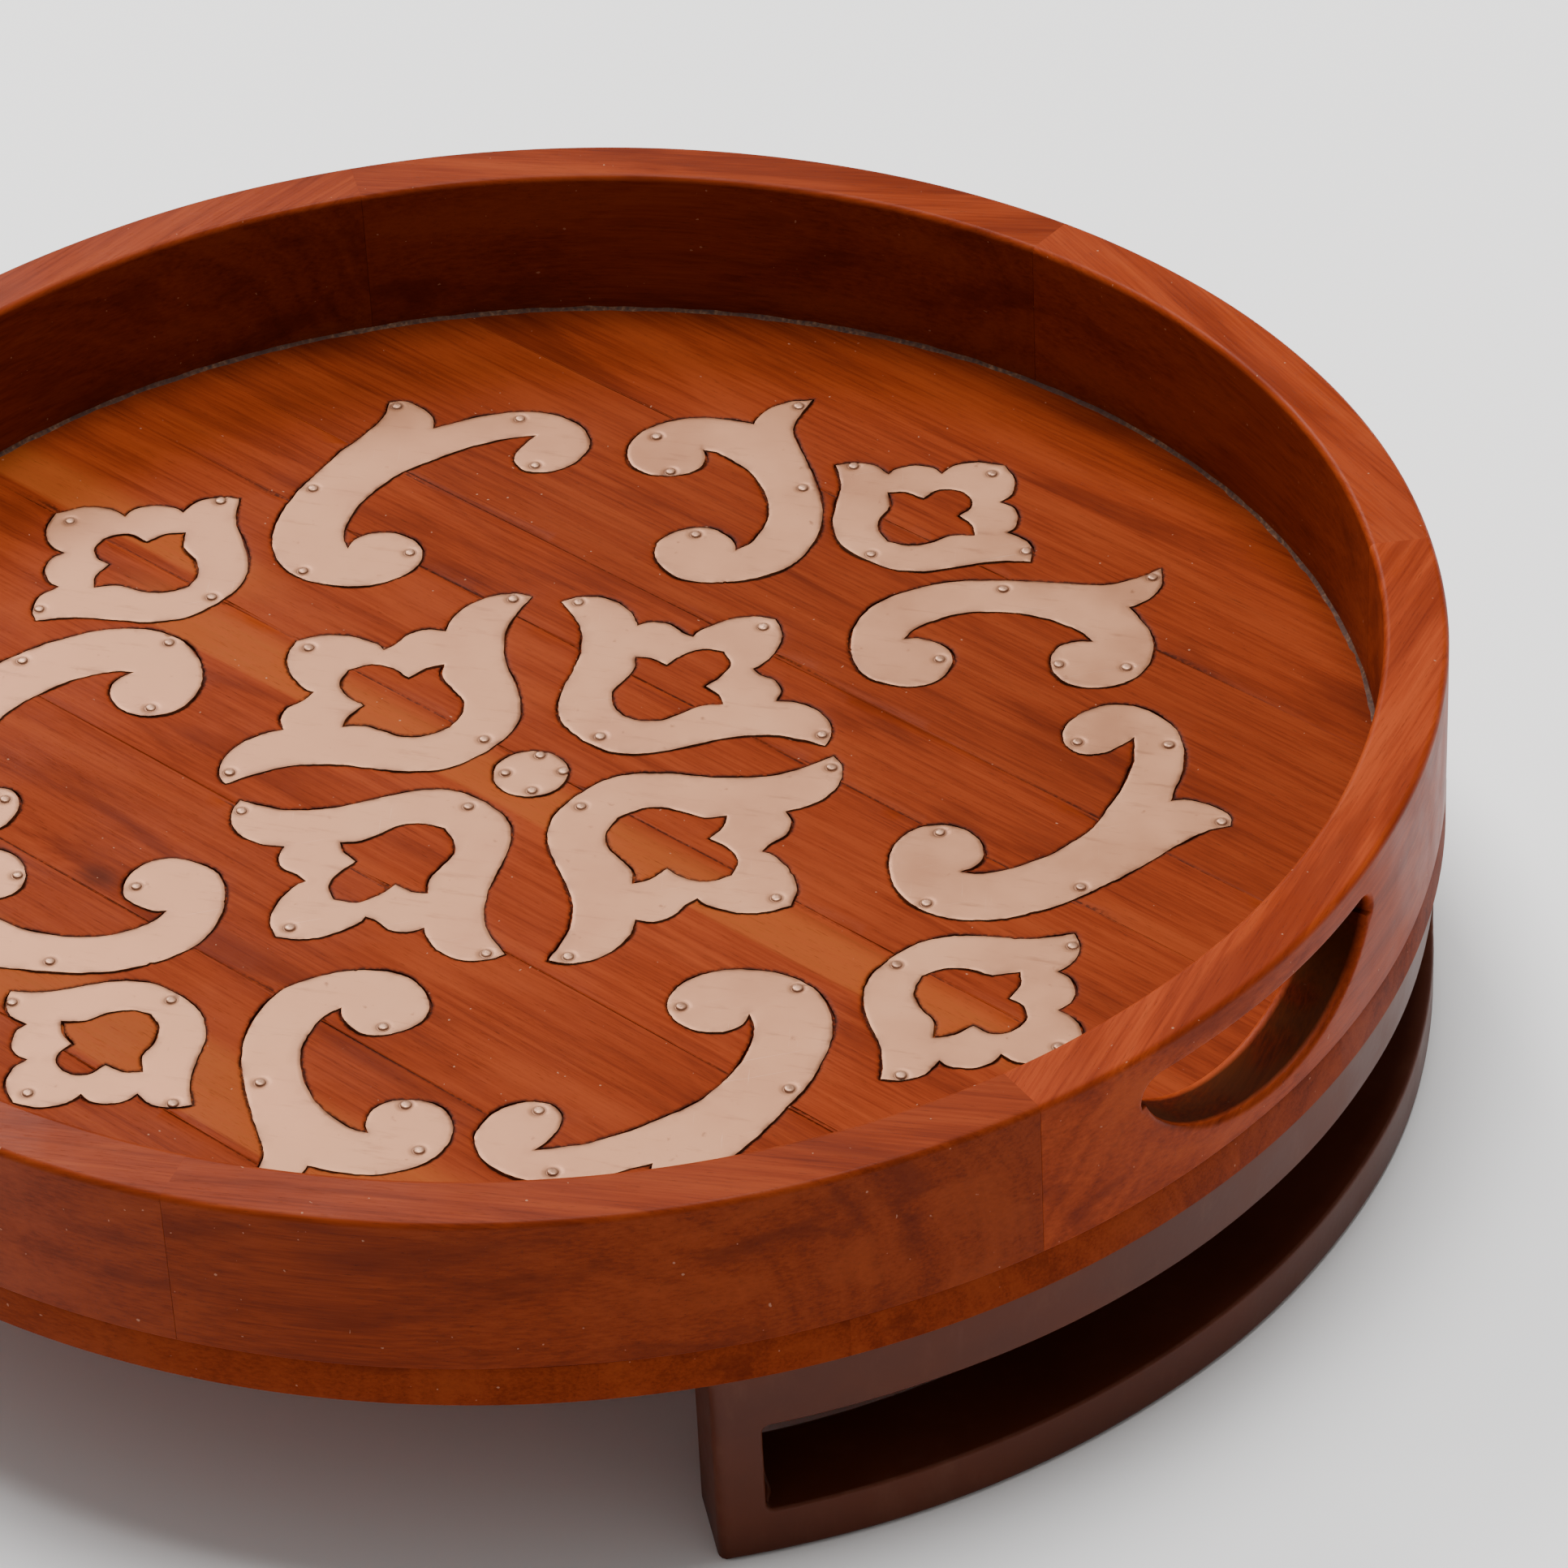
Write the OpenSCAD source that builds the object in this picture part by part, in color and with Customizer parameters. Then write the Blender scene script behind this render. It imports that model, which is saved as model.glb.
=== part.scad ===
// Round wooden serving tray with an inlaid sheet-metal pattern, a jointed rim
// with two hand slots, and two curved iron feet.
// The origin is at the middle of the footprint, on the surface the tray stands on.
// The feet and the right hand slot are on the X axis. The left hand slot is a little off it.

/* [Board] */
// Outside diameter of the tray
board_d = 400; // [396:1:410]
// Thickness of the planks
board_t = 10.1; // [9.5:0.1:14]
// Turn of the planks' grain from the X axis
grain_turn = -3.5; // [-6:0.5:0]

/* [Rim] */
// Height of the rim above the planks
rim_h = 37.8; // [36:0.2:50]
// Thickness of the rim's wall
rim_w = 14.2; // [12:0.2:16]
// Rounding of the rim's top edges
rim_round = 2.6; // [1:0.2:4]

/* [Hand slots] */
// Width of each hand slot
slot_w = 80; // [70:1:90]
// Depth of the bow of each hand slot
slot_bow = 25; // [18:1:28]
// Height of the slot's straight edge above the planks
slot_top = 30; // [28:0.5:31]
// Rounding of the slot's two upper corners
slot_round = 5; // [3:0.5:6]
// Angle from the right hand slot round to the left one
left_slot_turn = 187; // [180:0.5:190]

/* [Feet] */
// Height of the feet
foot_h = 49.6; // [45:0.2:60]
// Depth of the feet, towards the middle of the tray
foot_w = 24; // [20:1:28]
// How far the feet stand in from the edge of the board
foot_inset = 2; // [1:0.5:4]
// Half the angle that each foot spans
foot_half = 40; // [36:1:44]
// Height of the feet's top rails
top_rail_h = 14.9; // [13:0.1:17]
// Height of the feet's bottom rails
bottom_rail_h = 11.9; // [10:0.1:14]
// Width of the feet's end posts
post_w = 10.5; // [9:0.5:13]
// Rounding of the end posts' upright edges
post_round = 4; // [2:0.5:5]

/* [Inlay] */
// Thickness of the inlaid sheet metal
inlay_t = 1; // [0.6:0.1:1.5]
// Gap between the sheet metal and the wood round it
inlay_gap = 0.35; // [0.2:0.05:0.5]
// Radius of the disc in the middle of the pattern
disc_r = 8.3; // [8:0.1:9]

/* [Nails and screws] */
// Diameter of the nail heads
nail_head_d = 2.5; // [2:0.1:3]
// Height of the nail heads
nail_head_h = 0.6; // [0.4:0.1:0.8]
// Diameter of the nails
nail_d = 1.1; // [0.9:0.1:1.3]
// Length of the nails under the head
nail_l = 8; // [6:0.5:9]
// Diameter of the screws that hold the feet
screw_d = 4; // [3:0.5:4.5]
// Diameter of the screw heads
screw_head_d = 8; // [7:0.5:9]
// Height of the screw heads
screw_head_h = 3; // [2.5:0.5:4]
// How far the screws reach into the rim
screw_bite = 15; // [10:1:20]

/* [Hidden] */

$fn = 96;
board_facets = 180;
rim_facets = 240;
nail_facets = 16;
screw_facets = 32;
eps = 0.5;
board_r = board_d / 2;
rim_in = board_r - rim_w;
floor_z = foot_h + board_t;
rim_z = floor_z + rim_h;

// Seams between the planks, from the back to the front
seams = [120, 64, 38.3, 0, -52.4, -94, -136];
// Angles of the joints in the rim, starting at the front right
rim_joints = [-71, -19, 45.5, 91, 143, 212, 251, 289];

foot_out = board_r - foot_inset;
foot_in = foot_out - foot_w;
rail_half = foot_half - asin(post_w / foot_out);
screw_turn = 22;
screw_r = board_r - rim_w / 2;
screw_l = top_rail_h + board_t + screw_bite;
screw_point = 3;
screw_clearance = 0.1;
nail_point = 1.5;
nail_hole_d = nail_d + 0.1;
dome_steps = 4;

// The pattern is laid out by hand, a little off the middle of the board
pattern_x = -0.3;
pattern_y = -2.9;
// Points that each span of a smooth edge is drawn with
edge_steps = 3;
// The gap at a sharp corner is no wider than the usual gap divided by this
corner_limit = 0.6;

// Each outline is a list of smooth edges that meet at its corners.
// The right half of a tulip, from its foot outwards
inner_half = [
    [[0, -31.5], [8, -30.5], [14, -27], [19, -21], [23, -14], [27, -8], [33, -2], [40, 1.5],
     [46.5, 3.5]],
    [[46.5, 3.5], [45, 7], [41, 10.5], [35, 12], [29, 11], [24.5, 8.5]],
    [[24.5, 8.5], [22.5, 12], [18.5, 14], [14, 13.5], [10.5, 14]],
    [[10.5, 14], [11, 17], [9, 24], [5, 29], [0, 31.5]]
];
inner_hole_half = [
    [[0, -19], [5, -17.5], [9, -14], [10.5, -9], [12, -4], [15.5, -0.5]],
    [[15.5, -0.5], [12, 1.5], [7, 2]],
    [[7, 2], [7, 7], [5, 12], [0, 14.5]]
];
inner_spots = [[43, 6], [-43, 6], [0, 27.5], [2, -28]];
outer_half = [
    [[0, -24.5], [8, -23.5], [15, -19], [20, -12.5], [24, -6.5], [28, -2.5], [32, 0.5]],
    [[32, 0.5], [29.5, 4], [25, 6.5], [19.5, 6]],
    [[19.5, 6], [19.5, 9], [17, 13], [13, 15], [9.5, 14.5]],
    [[9.5, 14.5], [9.5, 19], [6, 24], [0, 27]]
];
outer_hole_half = [
    [[0, -15.5], [5, -13.5], [8.5, -9], [10, -4], [14.5, 0]],
    [[14.5, 0], [11, 3], [6, 4]],
    [[6, 4], [6, 8], [3.5, 11], [0, 12]]
];
outer_spots = [[28.5, 3], [-28.5, 3], [0, 22.5], [0.5, -22]];
side_scroll = [
    [[-8, 36], [-8.5, 32], [-10, 27.5], [-13, 24.5], [-17, 24], [-21, 27], [-23, 32], [-22.5, 37],
     [-20, 42], [-15, 45], [-9, 45.5], [-2, 43.5], [4, 38], [8.5, 31], [11, 25], [12.5, 21.5]],
    [[12.5, 21.5], [16, 24.5], [22, 25.5], [26.5, 24.5], [28.5, 22]],
    [[28.5, 22], [25.5, 18], [24, 14], [22.5, 7], [21.5, 0], [19.5, -8], [17, -17], [13.5, -25],
     [9, -32], [3, -37.5], [-4, -40.5], [-11, -40.5], [-18, -37.5], [-24, -32], [-27, -25],
     [-26.5, -19], [-23, -14.5], [-18, -13], [-13, -14], [-9, -17.5], [-8, -22], [-9.5, -25.5]],
    [[-9.5, -25.5], [-5, -23], [-0.5, -17], [2.5, -10], [4, -3], [4.5, 4], [3, 11], [1.5, 18],
     [-1, 25], [-3, 29], [-5, 32], [-8, 36]]
];
side_scroll_spots = [[-17, 27], [0, 38], [26, 22], [15, -14.5], [-8.5, -38.5], [-21.5, -17]];
end_scroll = [
    [[13.5, 38.5], [17, 34], [18.5, 29], [17.5, 24], [16.5, 22]],
    [[16.5, 22], [22, 19.5], [28, 15.5], [32.5, 9], [34, 2], [32, -4], [28, -8], [23, -9.5],
     [18, -8], [14, -4], [13, 0.5], [15, 4.5], [18, 6.5]],
    [[18, 6.5], [14, 8], [7, 8], [0, 6.5], [-7, 3], [-13, -2], [-16.5, -8], [-18, -13], [-17.5, -17.5]],
    [[-17.5, -17.5], [-15, -15.5], [-11, -14.5], [-6.5, -15], [-3, -18.5], [-1.5, -23], [-2, -27.5],
     [-5.5, -31.5], [-11, -33.5], [-16.5, -33.5], [-22.5, -30], [-27.5, -24], [-30.5, -17],
     [-31, -11], [-29, -4], [-25, 3], [-20, 8.5], [-14, 13], [-7, 17.5], [0, 21.5], [5.5, 24.5],
     [9, 28], [11.5, 33], [13.5, 38.5]]
];
end_scroll_spots = [[14, 34.5], [30, 3], [17, -5], [-11, 11], [-25, -28], [-6, -19]];
disc_spots = [[-2.7, 6.4], [5.3, 4.9], [-4.7, -3.1], [4.3, -4.6]];

// No point of a tulip or scroll is further from its own middle than this
motif_reach = 50;
// Tulips: angle about the pattern's middle, distance from it, width and length against the outline
inner_places = [
    [-2.5, 45, 1, 1],
    [84.6, 47, 0.9, 0.97],
    [174.6, 45, 1.02, 1],
    [-95, 45.5, 0.9, 1]
];
outer_places = [
    [-3, 130, 0.98, 1],
    [85.5, 131.5, 0.95, 0.95],
    [175.5, 128, 1, 1.08],
    [-95.2, 127, 0.9, 0.92]
];
// Scrolls: place on the board, turn, and 1 where the scroll is a mirror image
side_places = [[108, 50, 0, 0], [-98, 65, -6.5, 1], [98, -67, 171.5, 1], [-107, -52, 182, 0]];
end_places = [[53, 103, 0, 0], [-33, 109.5, -6.5, 1], [36, -109, 173, 1], [-51, -103, 176, 0]];

// Points on a smooth curve through the given points, without the last one
function smooth(points) =
    let (n = len(points),
         run = concat([2 * points[0] - points[1]], points, [2 * points[n - 1] - points[n - 2]]))
    [for (i = [1 : n - 1], k = [0 : edge_steps - 1])
        let (t = k / edge_steps, a = run[i - 1], b = run[i], c = run[i + 1], d = run[i + 2])
        b + (c - a) * t / 2
            + (2 * a - 5 * b + 4 * c - d) * t * t / 2
            + (3 * b - a - 3 * c + d) * t * t * t / 2];

function outline(edges) = [for (edge = edges) each smooth(edge)];

function reversed(list) = [for (i = [len(list) - 1 : -1 : 0]) list[i]];

function stretched(edges, wide, long) =
    [for (edge = edges) [for (p = edge) [p[0] * wide, p[1] * long]]];

// A right half and its mirror image, run on into one closed outline
function both_halves(edges) =
    concat(edges, [for (edge = reversed(edges)) reversed([for (p = edge) [-p[0], p[1]]])]);

function unit(v) = v / norm(v);

function area_of(points) =
    let (n = len(points))
    [for (i = [0 : n - 1]) cross(points[i], points[(i + 1) % n])] * [for (i = [1 : n]) 0.5];

// The outline moved outwards by the gap all round, and by no more than a little extra at its corners
function grown(points, gap) =
    let (n = len(points), side = sign(area_of(points)))
    [for (i = [0 : n - 1])
        let (before = unit(points[i] - points[(i + n - 1) % n]),
             after = unit(points[(i + 1) % n] - points[i]),
             along = unit(before + after),
             across = side * [along[1], -along[0]],
             reach = gap / max(corner_limit, abs(cross(across, before))))
        points[i] + reach * across];

module at_tulip(place) {
    translate([pattern_x + place[1] * cos(place[0]), pattern_y + place[1] * sin(place[0]), 0])
        rotate(place[0] - 90)
            children();
}

module at_scroll(place) {
    translate([place[0], place[1], 0])
        rotate(place[2])
            mirror([place[3], 0, 0])
                children();
}

module at_nails(spots) {
    for (spot = spots) {
        translate([spot[0], spot[1], 0])
            children();
    }
}

function spots_of(nails, wide, long) = [for (p = nails) [p[0] * wide, p[1] * long]];

// Sheet metal on the board: an outline, with its nail holes
module plate(points, spots) {
    translate([0, 0, floor_z - inlay_t])
        difference() {
            linear_extrude(inlay_t)
                polygon(points);
            at_nails(spots)
                translate([0, 0, -eps])
                    cylinder(d = nail_hole_d, h = inlay_t + 2 * eps, $fn = nail_facets);
        }
}

// The room that a plate takes in the wood, with the holes for its nails
module pocket(points, spots) {
    translate([0, 0, floor_z - inlay_t])
        linear_extrude(inlay_t + eps)
            polygon(grown(points, inlay_gap));
    nail_holes(spots);
}

module nail_holes(spots) {
    at_nails(spots)
        translate([0, 0, floor_z - nail_l - (nail_hole_d - nail_d) / 2])
            cylinder(d = nail_hole_d, h = nail_l + eps, $fn = nail_facets);
}

module tulip_plate(half, hole_half, nails, place) {
    wide = place[2];
    long = place[3];
    difference() {
        plate(outline(both_halves(stretched(half, wide, long))), spots_of(nails, wide, long));
        translate([0, 0, floor_z - inlay_t - eps])
            linear_extrude(inlay_t + 2 * eps)
                polygon(outline(both_halves(stretched(hole_half, wide, long))));
    }
}

module tulip_pocket(half, hole_half, nails, place) {
    wide = place[2];
    long = place[3];
    difference() {
        pocket(outline(both_halves(stretched(half, wide, long))), []);
        translate([0, 0, floor_z - inlay_t - eps])
            linear_extrude(inlay_t + 3 * eps)
                polygon(grown(outline(both_halves(stretched(hole_half, wide, long))), -inlay_gap));
    }
    nail_holes(spots_of(nails, wide, long));
}

module inner_tulip(index) {
    color("rosybrown")
        at_tulip(inner_places[index])
            tulip_plate(inner_half, inner_hole_half, inner_spots, inner_places[index]);
}

module outer_tulip(index) {
    color("rosybrown")
        at_tulip(outer_places[index])
            tulip_plate(outer_half, outer_hole_half, outer_spots, outer_places[index]);
}

module side_scroll_plate(index) {
    color("rosybrown")
        at_scroll(side_places[index])
            plate(outline(side_scroll), side_scroll_spots);
}

module end_scroll_plate(index) {
    color("rosybrown")
        at_scroll(end_places[index])
            plate(outline(end_scroll), end_scroll_spots);
}

module centre_disc() {
    color("rosybrown")
        translate([pattern_x, pattern_y, floor_z - inlay_t])
            difference() {
                cylinder(r = disc_r, h = inlay_t);
                at_nails(disc_spots)
                    translate([0, 0, -eps])
                        cylinder(d = nail_hole_d, h = inlay_t + 2 * eps, $fn = nail_facets);
            }
}

// A nail, with its point downwards and its domed head standing on the metal
module nail() {
    head_r = nail_head_d / 2;
    dome_r = (head_r * head_r + nail_head_h * nail_head_h) / (2 * nail_head_h);
    dome_turn = asin(head_r / dome_r);
    shank = [[0, -nail_l], [nail_d / 2, nail_point - nail_l], [nail_d / 2, 0]];
    dome = [for (i = [0 : dome_steps - 1])
        let (turn = dome_turn * (1 - i / dome_steps))
        [dome_r * sin(turn), nail_head_h - dome_r * (1 - cos(turn))]];
    translate([0, 0, floor_z])
        rotate_extrude($fn = nail_facets)
            polygon(concat(shank, dome, [[0, nail_head_h]]));
}

module centre_nails() {
    color("darkgray")
        translate([pattern_x, pattern_y, 0])
            at_nails(disc_spots)
                nail();
}

module tulip_nails(places, nails) {
    color("darkgray")
        for (place = places) {
            at_tulip(place)
                at_nails(spots_of(nails, place[2], place[3]))
                    nail();
        }
}

module scroll_nails(places, nails) {
    color("darkgray")
        for (place = places) {
            at_scroll(place)
                at_nails(nails)
                    nail();
        }
}

// True where a thing of the given reach, centred at a place, comes into a plank
function meets(place, reach, back, front) =
    let (across = place[1] * cos(grain_turn) - place[0] * sin(grain_turn))
    across + reach > front && across - reach < back;

function tulip_centre(place) =
    [pattern_x + place[1] * cos(place[0]), pattern_y + place[1] * sin(place[0])];

module plank(index) {
    back = index == 0 ? board_r + eps : seams[index - 1];
    front = index == len(seams) ? -board_r - eps : seams[index];
    color(index % 2 == 0 ? "sienna" : "peru")
        difference() {
            intersection() {
                translate([0, 0, foot_h])
                    cylinder(r = board_r, h = board_t, $fn = board_facets);
                rotate(grain_turn)
                    translate([-board_r - eps, front, foot_h - eps])
                        cube([board_d + 2 * eps, back - front, board_t + 2 * eps]);
            }
            if (meets([pattern_x, pattern_y], disc_r + inlay_gap, back, front)) {
                translate([pattern_x, pattern_y, floor_z - inlay_t])
                    cylinder(r = disc_r + inlay_gap, h = inlay_t + eps);
                translate([pattern_x, pattern_y, 0])
                    nail_holes(disc_spots);
            }
            for (place = inner_places) {
                if (meets(tulip_centre(place), motif_reach, back, front))
                    at_tulip(place)
                        tulip_pocket(inner_half, inner_hole_half, inner_spots, place);
            }
            for (place = outer_places) {
                if (meets(tulip_centre(place), motif_reach, back, front))
                    at_tulip(place)
                        tulip_pocket(outer_half, outer_hole_half, outer_spots, place);
            }
            for (place = side_places) {
                if (meets(place, motif_reach, back, front))
                    at_scroll(place)
                        pocket(outline(side_scroll), side_scroll_spots);
            }
            for (place = end_places) {
                if (meets(place, motif_reach, back, front))
                    at_scroll(place)
                        pocket(outline(end_scroll), end_scroll_spots);
            }
            screw_holes();
        }
}

module rim_profile() {
    corner_step = 15;
    corner = [for (turn = [0 : corner_step : 90]) rim_round * [cos(turn), sin(turn)]];
    shoulder = rim_h - rim_round;
    polygon(concat(
        [[rim_in, 0], [board_r, 0]],
        [for (p = corner) [board_r - rim_round + p[0], shoulder + p[1]]],
        [for (p = reversed(corner)) [rim_in + rim_round - p[0], shoulder + p[1]]]
    ));
}

module rim_segment(index) {
    start = rim_joints[index];
    color(index % 2 == 0 ? "chocolate" : "sienna")
        difference() {
            translate([0, 0, floor_z])
                rotate(start)
                    rotate_extrude(angle = rim_joints[index + 1] - start, $fn = rim_facets)
                        rim_profile();
            screw_holes();
        }
}

// A hand slot: a straight top edge with rounded corners, and a bowed lower edge
module slot_shape() {
    half = slot_w / 2;
    tail = 15;
    bow_step = (180 - 2 * tail) / 20;
    corner_step = (90 + tail) / 5;
    bow = [for (turn = [180 - tail : -bow_step : tail]) [half * cos(turn), -slot_bow * sin(turn)]];
    right_corner = [for (turn = [-tail : corner_step : 90])
        [half - slot_round * (1 - cos(turn)), -slot_round * (1 - sin(turn))]];
    left_corner = [for (p = reversed(right_corner)) [-p[0], p[1]]];
    polygon(concat(bow, right_corner, left_corner));
}

// A rim segment with a hand slot cut through it, at an angle about the tray's middle
module slotted(turn) {
    difference() {
        children();
        rotate(turn)
            translate([rim_in - rim_w, 0, floor_z + slot_top])
                rotate([90, 0, 90])
                    linear_extrude(3 * rim_w)
                        slot_shape();
    }
}

module at_foot_screws() {
    for (side = [0, 180], turn = [-screw_turn, screw_turn]) {
        rotate(side + turn)
            translate([screw_r, 0, foot_h - top_rail_h])
                children();
    }
}

// A wood screw with its head flush in the underside of a top rail
module foot_screws() {
    head_r = screw_head_d / 2;
    shank_r = screw_d / 2;
    color("dimgray")
        at_foot_screws()
            rotate_extrude($fn = screw_facets)
                polygon([
                    [0, 0],
                    [head_r, 0],
                    [shank_r, screw_head_h],
                    [shank_r, screw_l - screw_point],
                    [0, screw_l]
                ]);
}

module screw_holes() {
    head_r = screw_head_d / 2 + screw_clearance;
    hole_r = screw_d / 2 + screw_clearance;
    at_foot_screws() {
        translate([0, 0, -eps])
            cylinder(r = hole_r, h = screw_l + 2 * eps, $fn = screw_facets);
        translate([0, 0, -eps])
            cylinder(r1 = head_r + eps, r2 = hole_r, h = screw_head_h + eps, $fn = screw_facets);
    }
}

module foot_rail(side, z, height) {
    color("saddlebrown")
        difference() {
            translate([0, 0, z])
                rotate(side - rail_half)
                    rotate_extrude(angle = 2 * rail_half, $fn = rim_facets)
                        translate([foot_in, 0])
                            square([foot_w, height]);
            screw_holes();
        }
}

// The end post of a foot: square against the rails, rounded on its two free upright edges
module foot_post(side, hand) {
    color("saddlebrown")
        rotate(side + hand * rail_half)
            mirror([0, hand < 0 ? 1 : 0, 0])
                linear_extrude(foot_h) {
                    translate([foot_in, 0])
                        square([foot_w, post_w - post_round]);
                    translate([foot_in + post_round, 0])
                        square([foot_w - 2 * post_round, post_w]);
                    for (x = [foot_in + post_round, foot_out - post_round]) {
                        translate([x, post_w - post_round])
                            circle(r = post_round, $fn = 48);
                    }
                }
}

plank(0);  // board_1
plank(1);  // board_2
plank(2);  // board_3
plank(3);  // board_4
plank(4);  // board_5
plank(5);  // board_6
plank(6);  // board_7
plank(7);  // board_8
rim_segment(0);  // rim_front_right
slotted(0) rim_segment(1);  // rim_slot_right
rim_segment(2);  // rim_back_right
rim_segment(3);  // rim_back_left
slotted(left_slot_turn) rim_segment(4);  // rim_slot_left
rim_segment(5);  // rim_front_left
rim_segment(6);  // rim_front
centre_disc();
inner_tulip(0);  // inner_tulip_right
inner_tulip(1);  // inner_tulip_back
inner_tulip(2);  // inner_tulip_left
inner_tulip(3);  // inner_tulip_front
outer_tulip(0);  // outer_tulip_right
outer_tulip(1);  // outer_tulip_back
outer_tulip(2);  // outer_tulip_left
outer_tulip(3);  // outer_tulip_front
side_scroll_plate(0);  // side_scroll_back_right
side_scroll_plate(1);  // side_scroll_back_left
side_scroll_plate(2);  // side_scroll_front_right
side_scroll_plate(3);  // side_scroll_front_left
end_scroll_plate(0);  // end_scroll_back_right
end_scroll_plate(1);  // end_scroll_back_left
end_scroll_plate(2);  // end_scroll_front_right
end_scroll_plate(3);  // end_scroll_front_left
centre_nails();
tulip_nails(inner_places, inner_spots);  // inner_tulip_nails
tulip_nails(outer_places, outer_spots);  // outer_tulip_nails
scroll_nails(side_places, side_scroll_spots);  // side_scroll_nails
scroll_nails(end_places, end_scroll_spots);  // end_scroll_nails
foot_rail(0, foot_h - top_rail_h, top_rail_h);  // right_foot_top_rail
foot_rail(0, 0, bottom_rail_h);  // right_foot_bottom_rail
foot_post(0, -1);  // right_foot_front_post
foot_post(0, 1);  // right_foot_back_post
foot_rail(180, foot_h - top_rail_h, top_rail_h);  // left_foot_top_rail
foot_rail(180, 0, bottom_rail_h);  // left_foot_bottom_rail
foot_post(180, 1);  // left_foot_front_post
foot_post(180, -1);  // left_foot_back_post
foot_screws();
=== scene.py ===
import math
from collections import namedtuple

import bmesh
import bpy
import numpy as np
from mathutils import Matrix, Vector, noise
from mathutils.geometry import delaunay_2d_cdt
from mathutils.kdtree import KDTree


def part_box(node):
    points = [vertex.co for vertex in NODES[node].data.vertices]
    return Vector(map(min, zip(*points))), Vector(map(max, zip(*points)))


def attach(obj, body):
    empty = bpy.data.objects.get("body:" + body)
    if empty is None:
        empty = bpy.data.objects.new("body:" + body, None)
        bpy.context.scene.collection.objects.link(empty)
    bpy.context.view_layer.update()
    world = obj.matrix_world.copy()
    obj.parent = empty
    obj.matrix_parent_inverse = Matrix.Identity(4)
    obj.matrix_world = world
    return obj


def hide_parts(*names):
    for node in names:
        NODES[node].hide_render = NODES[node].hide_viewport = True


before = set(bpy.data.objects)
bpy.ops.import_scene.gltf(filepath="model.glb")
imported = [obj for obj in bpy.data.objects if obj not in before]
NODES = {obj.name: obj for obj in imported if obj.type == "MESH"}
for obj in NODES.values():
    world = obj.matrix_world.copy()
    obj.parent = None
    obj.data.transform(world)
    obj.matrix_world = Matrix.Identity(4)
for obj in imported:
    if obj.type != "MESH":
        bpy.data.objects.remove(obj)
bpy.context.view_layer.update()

# Lengths are in metres, and MM turns millimetres into them. Flat outlines are worked out in millimetres.
MM = 0.001

# ---- Places and sizes, from the frame ----

PLANKS = sorted(name for name in NODES if name.startswith("board_"))
RIMS = sorted(name for name in NODES if name.startswith("rim_"))
PLATES = sorted(name for name in NODES if "tulip" in name or "scroll" in name or name == "centre_disc")
PLATES = [name for name in PLATES if not name.endswith("_nails")]
NAIL_GROUPS = {"centre_nails": ["centre_disc"]}
for kind in ("inner_tulip", "outer_tulip", "side_scroll", "end_scroll"):
    NAIL_GROUPS[kind + "_nails"] = [name for name in PLATES if name.startswith(kind)]
FEET = ("right", "left")


def vertices_of(node):
    """The node's points in millimetres, one row each."""
    mesh = NODES[node].data
    points = np.empty(len(mesh.vertices) * 3)
    mesh.vertices.foreach_get("co", points)
    return points.reshape(-1, 3) / MM


def radii_of(node):
    points = vertices_of(node)
    reach = np.hypot(points[:, 0], points[:, 1])
    return reach.min(), reach.max()


def angles_of(node):
    """The angles that a curved piece starts and ends at."""
    points = vertices_of(node)
    middle = math.atan2(points[:, 1].mean(), points[:, 0].mean())
    off = np.arctan2(points[:, 1], points[:, 0]) - middle
    off = (off + math.pi) % (2 * math.pi) - math.pi
    return middle + off.min(), middle + off.max()


BOARD_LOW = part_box("board_1")[0][2] / MM
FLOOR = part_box("board_1")[1][2] / MM
RIM_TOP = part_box("rim_front")[1][2] / MM
RIM_IN, RIM_OUT = radii_of("rim_front")
FOOT_IN, FOOT_OUT = radii_of("right_foot_top_rail")
PLATE_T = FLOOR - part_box("centre_disc")[0][2] / MM


class Slot:
    """A hand slot's middle angle, half width, lowest point and straight edge, from its CAD node."""

    def __init__(self, node):
        skin = 0.2  # how far a corner may be from the outer face
        end_gap = 0.02  # the least wood beside the cut, in radians
        floor_gap, edge_gap = 1, 4  # the least wood below and above the cut
        points = vertices_of(node)
        start, end = angles_of(node)
        turns = start + np.mod(np.arctan2(points[:, 1], points[:, 0]) - start, 2 * math.pi)
        outside = np.hypot(points[:, 0], points[:, 1]) > RIM_OUT - skin
        off_ends = (turns > start + end_gap) & (turns < end - end_gap)
        between = (points[:, 2] > FLOOR + floor_gap) & (points[:, 2] < RIM_TOP - edge_gap)
        cut = outside & off_ends & between
        self.middle = (turns[cut].min() + turns[cut].max()) / 2
        self.half = RIM_OUT * (turns[cut].max() - turns[cut].min()) / 2
        self.low = points[cut, 2].min()
        self.high = points[cut, 2].max()


# ---- Mesh helpers ----

def wander(x, y, z=0.0, size=10.0, seed=0.0):
    """Smooth noise from -1 to 1, with lumps of about the given size in millimetres."""
    return noise.noise(Vector((x / size + seed, y / size - seed, z / size + 0.37 * seed)))


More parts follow.
